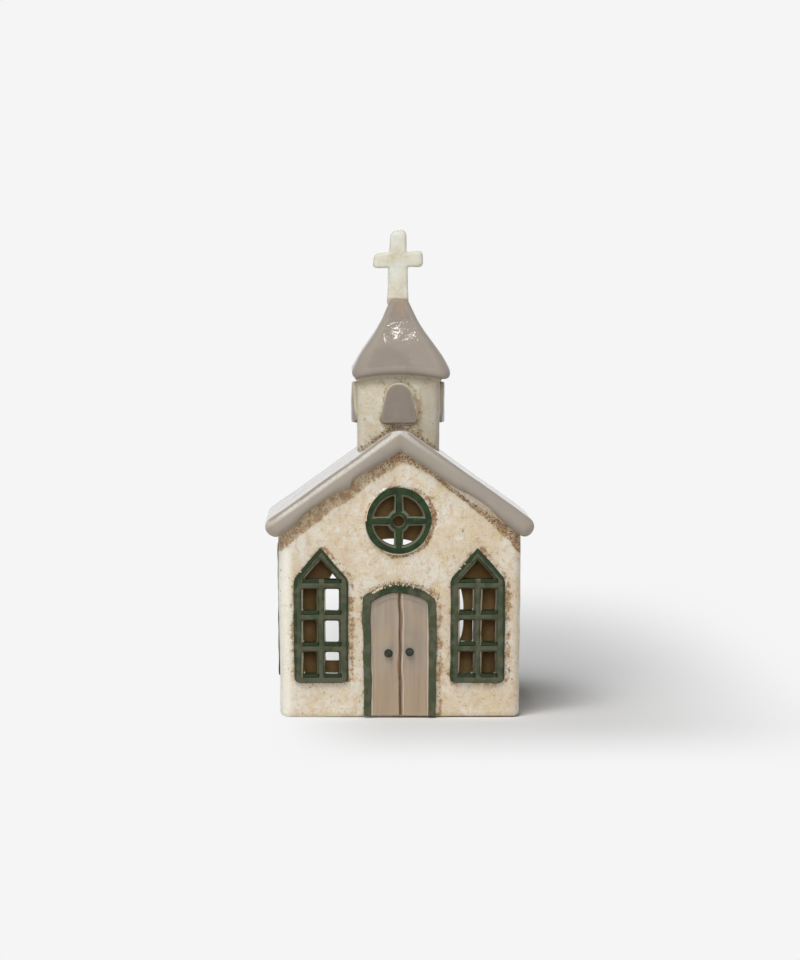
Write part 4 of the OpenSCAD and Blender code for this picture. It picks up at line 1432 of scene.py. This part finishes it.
def glaze_window(window, shell):
    """Deep green at a frame's rim and head, a painted shade line under each pane, pools on its sills, bevels,
    and a painted highlight beside its panes.
    """
    x, y, z = corners(window).T
    off = np.where(np.abs(y) > BODY_D / 2 - 9 * MM, np.abs(np.abs(x) - LANCET_X), np.abs(y))
    glazed = (off > MULLION_B / 2 - REVEAL) & (off < LANCET_W / 2 - FRAME_B + REVEAL)
    under = PANE_FEET[None, :] - z[:, None]
    pool = rise(under, -0.5 * MM, 0) * fall(under, REVEAL_SILL - 0.3 * MM, REVEAL_SILL + 0.2 * MM)
    paint(window, "sill", pool.max(1) * glazed)
    depth = FRAME_PROUD - np.maximum(FACE - y, np.abs(x) - BODY_W / 2 + SIDE_SUNK)
    paint(window, "bevel", rise(depth, 0.2 * MM, 0.8 * MM))
    high = z - LANCET_Z
    from_head = (LANCET_H - high) * math.cos(HEAD_SLOPE) - off * math.sin(HEAD_SLOPE)
    edge = fall(np.minimum(LANCET_W / 2 - off, from_head), 0.7 * MM, 1.7 * MM)
    right_half = x > np.sign(x) * LANCET_X
    deep = glaze_rim(window, shell) + edge * (0.55 + 0.25 * right_half) + 0.3 * rise(high, 40 * MM, 46 * MM)
    # A painted shade line just under each pane's foot
    line = hump(under - 0.3 * MM, 0.3 * MM).max(1)
    paint(window, "deep", np.maximum(deep, 0.75 * line * glazed))
    # Painted highlight: a pale line along each pane's left jamb
    step = rise(depth, 0.5 * MM, 0.8 * MM) * fall(depth, 1.2 * MM, 1.6 * MM)
    paint(window, "bead_and_highlight", 0.75 * rise(facings(window)[:, 0], 0.45, 0.8) * step * glazed)


def glaze_rose(rose, shell):
    """Bevels along the rose window's bars, and cream glaze with a painted highlight on parts of its rim."""
    places = corners(rose)
    middle = (ROSE_MOVE[0], FACE, ROSE_Z + ROSE_MOVE[2])
    across, up = places[:, 0] - middle[0], places[:, 2] - middle[2]
    out = np.linalg.norm(places - middle, axis=1)
    spoke = SPOKE_B / 2 * (SPOKE_FLARE + (1 - SPOKE_FLARE) * rise(out, HUB_D / 2, ROSE_D / 2))
    in_spoke = spoke - np.minimum(np.abs(across), np.abs(up))
    in_bars = np.maximum.reduce([out - ROSE_D / 2 + ROSE_RING_B, HUB_D / 2 - out, in_spoke])
    by_bore = fall(out - HUB_BORE / 2, 0.5 * MM, 0.8 * MM)
    paint(rose, "bevel", np.maximum(fall(in_bars, 0.5 * MM, 0.95 * MM), by_bore))
    turn = np.arctan2(up, across)
    # Painted highlight along the rim's low right side, and a painted glint at its high left
    low_right = rise(turn, -2.2, -1.9) * fall(turn, -0.4, -0.1)
    high_left = 0.7 * rise(turn, 2.1, 2.4)
    lip = rise(np.hypot(across / ROSE_NARROWER, up), ROSE_D / 2 - 0.35 * MM, ROSE_D / 2 - 0.05 * MM)
    paint(rose, "bead_and_highlight", 1.4 * lip * (low_right + high_left))
    paint(rose, "deep", glaze_rim(rose, shell))


def glaze_surround(surround, shell):
    """The band round the door is deep green at its rim and over its crown."""
    high = rise(corners(surround)[:, 2], 50 * MM, 57 * MM)
    paint(surround, "deep", glaze_rim(surround, shell) * (1 + 0.6 * high) + 0.55 * high)


def glaze_knob(knob, shell):
    """A knob is deep green above: painted shade on its top."""
    glaze_rim(knob, shell)
    facing = facings(knob)
    # Painted shade on the knob's top and upper left
    paint(knob, "deep", rise(facing[:, 2] - 0.3 * facing[:, 0], 0.1, 0.7))


def glaze_leaf(leaf, surround, is_left):
    """A door leaf is brown by the groove and the band, darker in a painted shade under the arch, and has
    painted highlight lines beside the groove and along its jamb.
    """
    x, _, z = corners(leaf).T
    paint(leaf, "on_edge", np.maximum(edge_lie(leaf, 3) / (0.012 * MM), 0))
    waver = 0.25 * MM * np.sin(z / (5.2 * MM)) + 0.15 * MM * np.sin(z / (2.3 * MM) + 1)
    groove = np.exp(-(((x - waver) / (0.95 * MM)) ** 4))
    paint(leaf, "near_relief", np.maximum(0.6 * near_to(leaf, [surround], 0.4 * MM, 5 * MM), groove))
    from_arch = DOOR_ARCH_R - SURROUND_B - np.hypot(x, np.maximum(z - DOOR_SPRING, 0))
    # Painted shade in a band under the arch
    paint(leaf, "arch_painted_shade", 0.5 * fall(from_arch, 2.6 * MM, 3.6 * MM) * rise(z, 44 * MM, 50 * MM))
    # Painted highlight lines: one right of the groove, one along each leaf's jamb
    by_groove = 0.8 * hump(x - waver - 1.4 * MM, 0.32 * MM)
    by_jamb = hump(np.abs(x) - LEAF_EDGE, 0.45 * MM)
    share = 0.8 * fall(z, 14 * MM, 40 * MM) if is_left else 0.7
    paint(leaf, "leaf_highlight_lines", np.maximum(by_groove, by_jamb * share))


def finish_piece(piece, name, material, whole):
    """Names a piece, shades it smooth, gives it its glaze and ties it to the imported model.

    A piece cut from a whole body takes that body's shading, so that no seam shows.
    """
    shade(name_it(piece, name + "_clay"))
    piece.data.materials.clear()
    piece.data.materials.append(material)
    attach(piece, "root")
    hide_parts(name)
    if whole:
        modify(
            piece, "DATA_TRANSFER", object=whole, use_loop_data=True,
            data_types_loops={"CUSTOM_NORMAL"}, loop_mapping="POLYINTERP_NEAREST",
        )
        apply_all(piece)


# The stage

def make_floor():
    """A plain pale floor. It keeps the shadow near the house and turns into the backdrop further out."""
    bpy.ops.mesh.primitive_circle_add(vertices=96, radius=30, fill_type="NGON", location=(0, 0, -0.05 * MM))
    floor = name_it(bpy.context.object, "floor")
    made = bpy.data.materials.new("pale_floor")
    b = bench_of(made)
    paper = b.placed("ShaderNodeBsdfDiffuse", FLOOR_TONE)
    glow = b.placed("ShaderNodeEmission", BACKDROP)
    place = b.parts_of(b.here())
    sides = [b.span(b.times(place[axis], way), *ends, 1.0, 0.0) for axis, way, *ends in FADES]
    far = b.times(b.maths("SUBTRACT", 1.0, b.times(*sides)), b.seen())
    b.finish("ShaderNodeOutputMaterial", far, paper, glow)
    floor.data.materials.append(made)


def make_sky():
    """A white room: what is seen or mirrored is the backdrop, and what lights the house is softer."""
    world = bpy.data.worlds.new("white_room")
    bpy.context.scene.world = world
    b = bench_of(world)
    shown = b.placed("ShaderNodeBackground", BACKDROP)
    light = b.placed("ShaderNodeBackground", ROOM_LIGHT, ROOM_LEVEL)
    b.finish("ShaderNodeOutputWorld", b.seen(), light, shown)


def softbox(name, place, wide, watts, mirrored=False):
    """A square lamp that is turned to the house. Unless it is mirrored, no glaze shows it."""
    lamp = bpy.data.lights.new(name, "AREA")
    lamp.shape, lamp.size, lamp.size_y, lamp.energy = "RECTANGLE", wide, wide, watts
    box = bpy.data.objects.new(name, lamp)
    bpy.context.scene.collection.objects.link(box)
    box.location = place
    box.rotation_euler = (AIM - Vector(place)).to_track_quat("-Z", "Y").to_euler()
    box.visible_glossy = mirrored


def make_camera():
    view = bpy.data.cameras.new("camera")
    view.lens, view.sensor_width = CAMERA_LENS, 36
    camera = bpy.data.objects.new("camera", view)
    bpy.context.scene.collection.objects.link(camera)
    camera.location = CAMERA_PLACE
    camera.rotation_euler = [math.radians(a) for a in CAMERA_TURN]
    bpy.context.scene.camera = camera


# Everything together

bpy.context.scene.view_settings.view_transform = "Standard"
make_camera()
make_sky()
make_floor()
softbox("front_light", (-0.3, -1.0, 1.3), 0.8, 13.5)
softbox("high_light", (-0.35, -0.6, 1.5), 0.8, 4.5)
softbox("glint_light", (0.0, -0.63, 1.66), 0.06, 0.75, mirrored=True)
softbox("camera_fill", (-0.034, -1.69, 0.24), 0.12, 4)

shell, walls = make_walls()
roof_whole, roof = make_roof()
belfry_whole, belfry = make_belfry()
spire = make_spire()
cross = make_cross()
bells = make_bells()
windows = make_windows()
rose = make_rose()
surround = make_surround()
leaves = {"door_leaf_left": make_leaf(-1), "door_leaf_right": make_leaf(1)}
knobs = {"door_knob_left": make_knob(-1), "door_knob_right": make_knob(1)}
tower, cornice = belfry.values()

for wall in walls.values():
    stain_wall(wall, [*windows.values(), rose, surround], surround)
stain_tower(tower, list(bells.values()), roof_whole)
paint(cornice, "grey", CORNICE_GREY)
paint(cornice, "eaves_stain_and_shadow", CORNICE_STAIN)
paint(cross, "near_relief", 0.9 * fall(corners(cross)[:, 2], SPIRE_TOP + MM, SPIRE_TOP + 4 * MM))
paint(cross, "pale", 0.35 * rise(np.abs(corners(cross)[:, 0]), 3 * MM, 6 * MM))
stain_spire(spire)
for slab in roof.values():
    stain_roof(slab)
for bell in bells.values():
    stain_bell(bell, tower)
for piece in (*roof.values(), spire, *bells.values()):
    paint(piece, "on_edge", edge_lie(piece, 4) / (0.02 * MM))

for seed, (name, beads) in enumerate(LANCET_BEADS_AND_GLINTS.items(), 1):
    add_beads(windows[name], beads, seed)
add_beads(rose, ROSE_GLINTS, 3, 2.0)
arch, spring = DOOR_ARCH_R / MM, DOOR_SPRING / MM
over_arch = [(x, spring + math.sqrt(arch**2 - x**2) + up, size) for x, up, size in CROWN_BEADS]
add_beads(surround, over_arch, 4)
for window in windows.values():
    glaze_window(window, shell)
glaze_rose(rose, shell)
glaze_surround(surround, shell)
for knob in knobs.values():
    glaze_knob(knob, shell)
for name, leaf in leaves.items():
    glaze_leaf(leaf, surround, name == "door_leaf_left")

for pieces, material, slot, whole in (
    (walls, CREAM, "cream_glaze", shell),
    (roof, TAUPE, "taupe_glaze", roof_whole),
    (belfry, CREAM_BELFRY, "cream_glaze", belfry_whole),
    ({"spire": spire}, TAUPE_SPIRE, "taupe_glaze", None),
    ({"cross": cross}, CREAM_CROSS, "cream_glaze", None),
    (bells, TAUPE_BELLS, "taupe_glaze", None),
    ({**windows, "door_surround": surround}, GREEN, "green_glaze", None),
    ({"rose_window": rose}, GREEN_ROSE, "green_glaze", None),
    (leaves, DOOR, "door_glaze", None),
    (knobs, GREEN_KNOBS, "green_glaze", None),
):
    for name, piece in pieces.items():
        finish_piece(piece, name, material, whole)
for whole in (shell, roof_whole, belfry_whole):
    bpy.data.objects.remove(whole)
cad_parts["floor_slab"].data.materials.clear()
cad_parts["floor_slab"].data.materials.append(RAW)
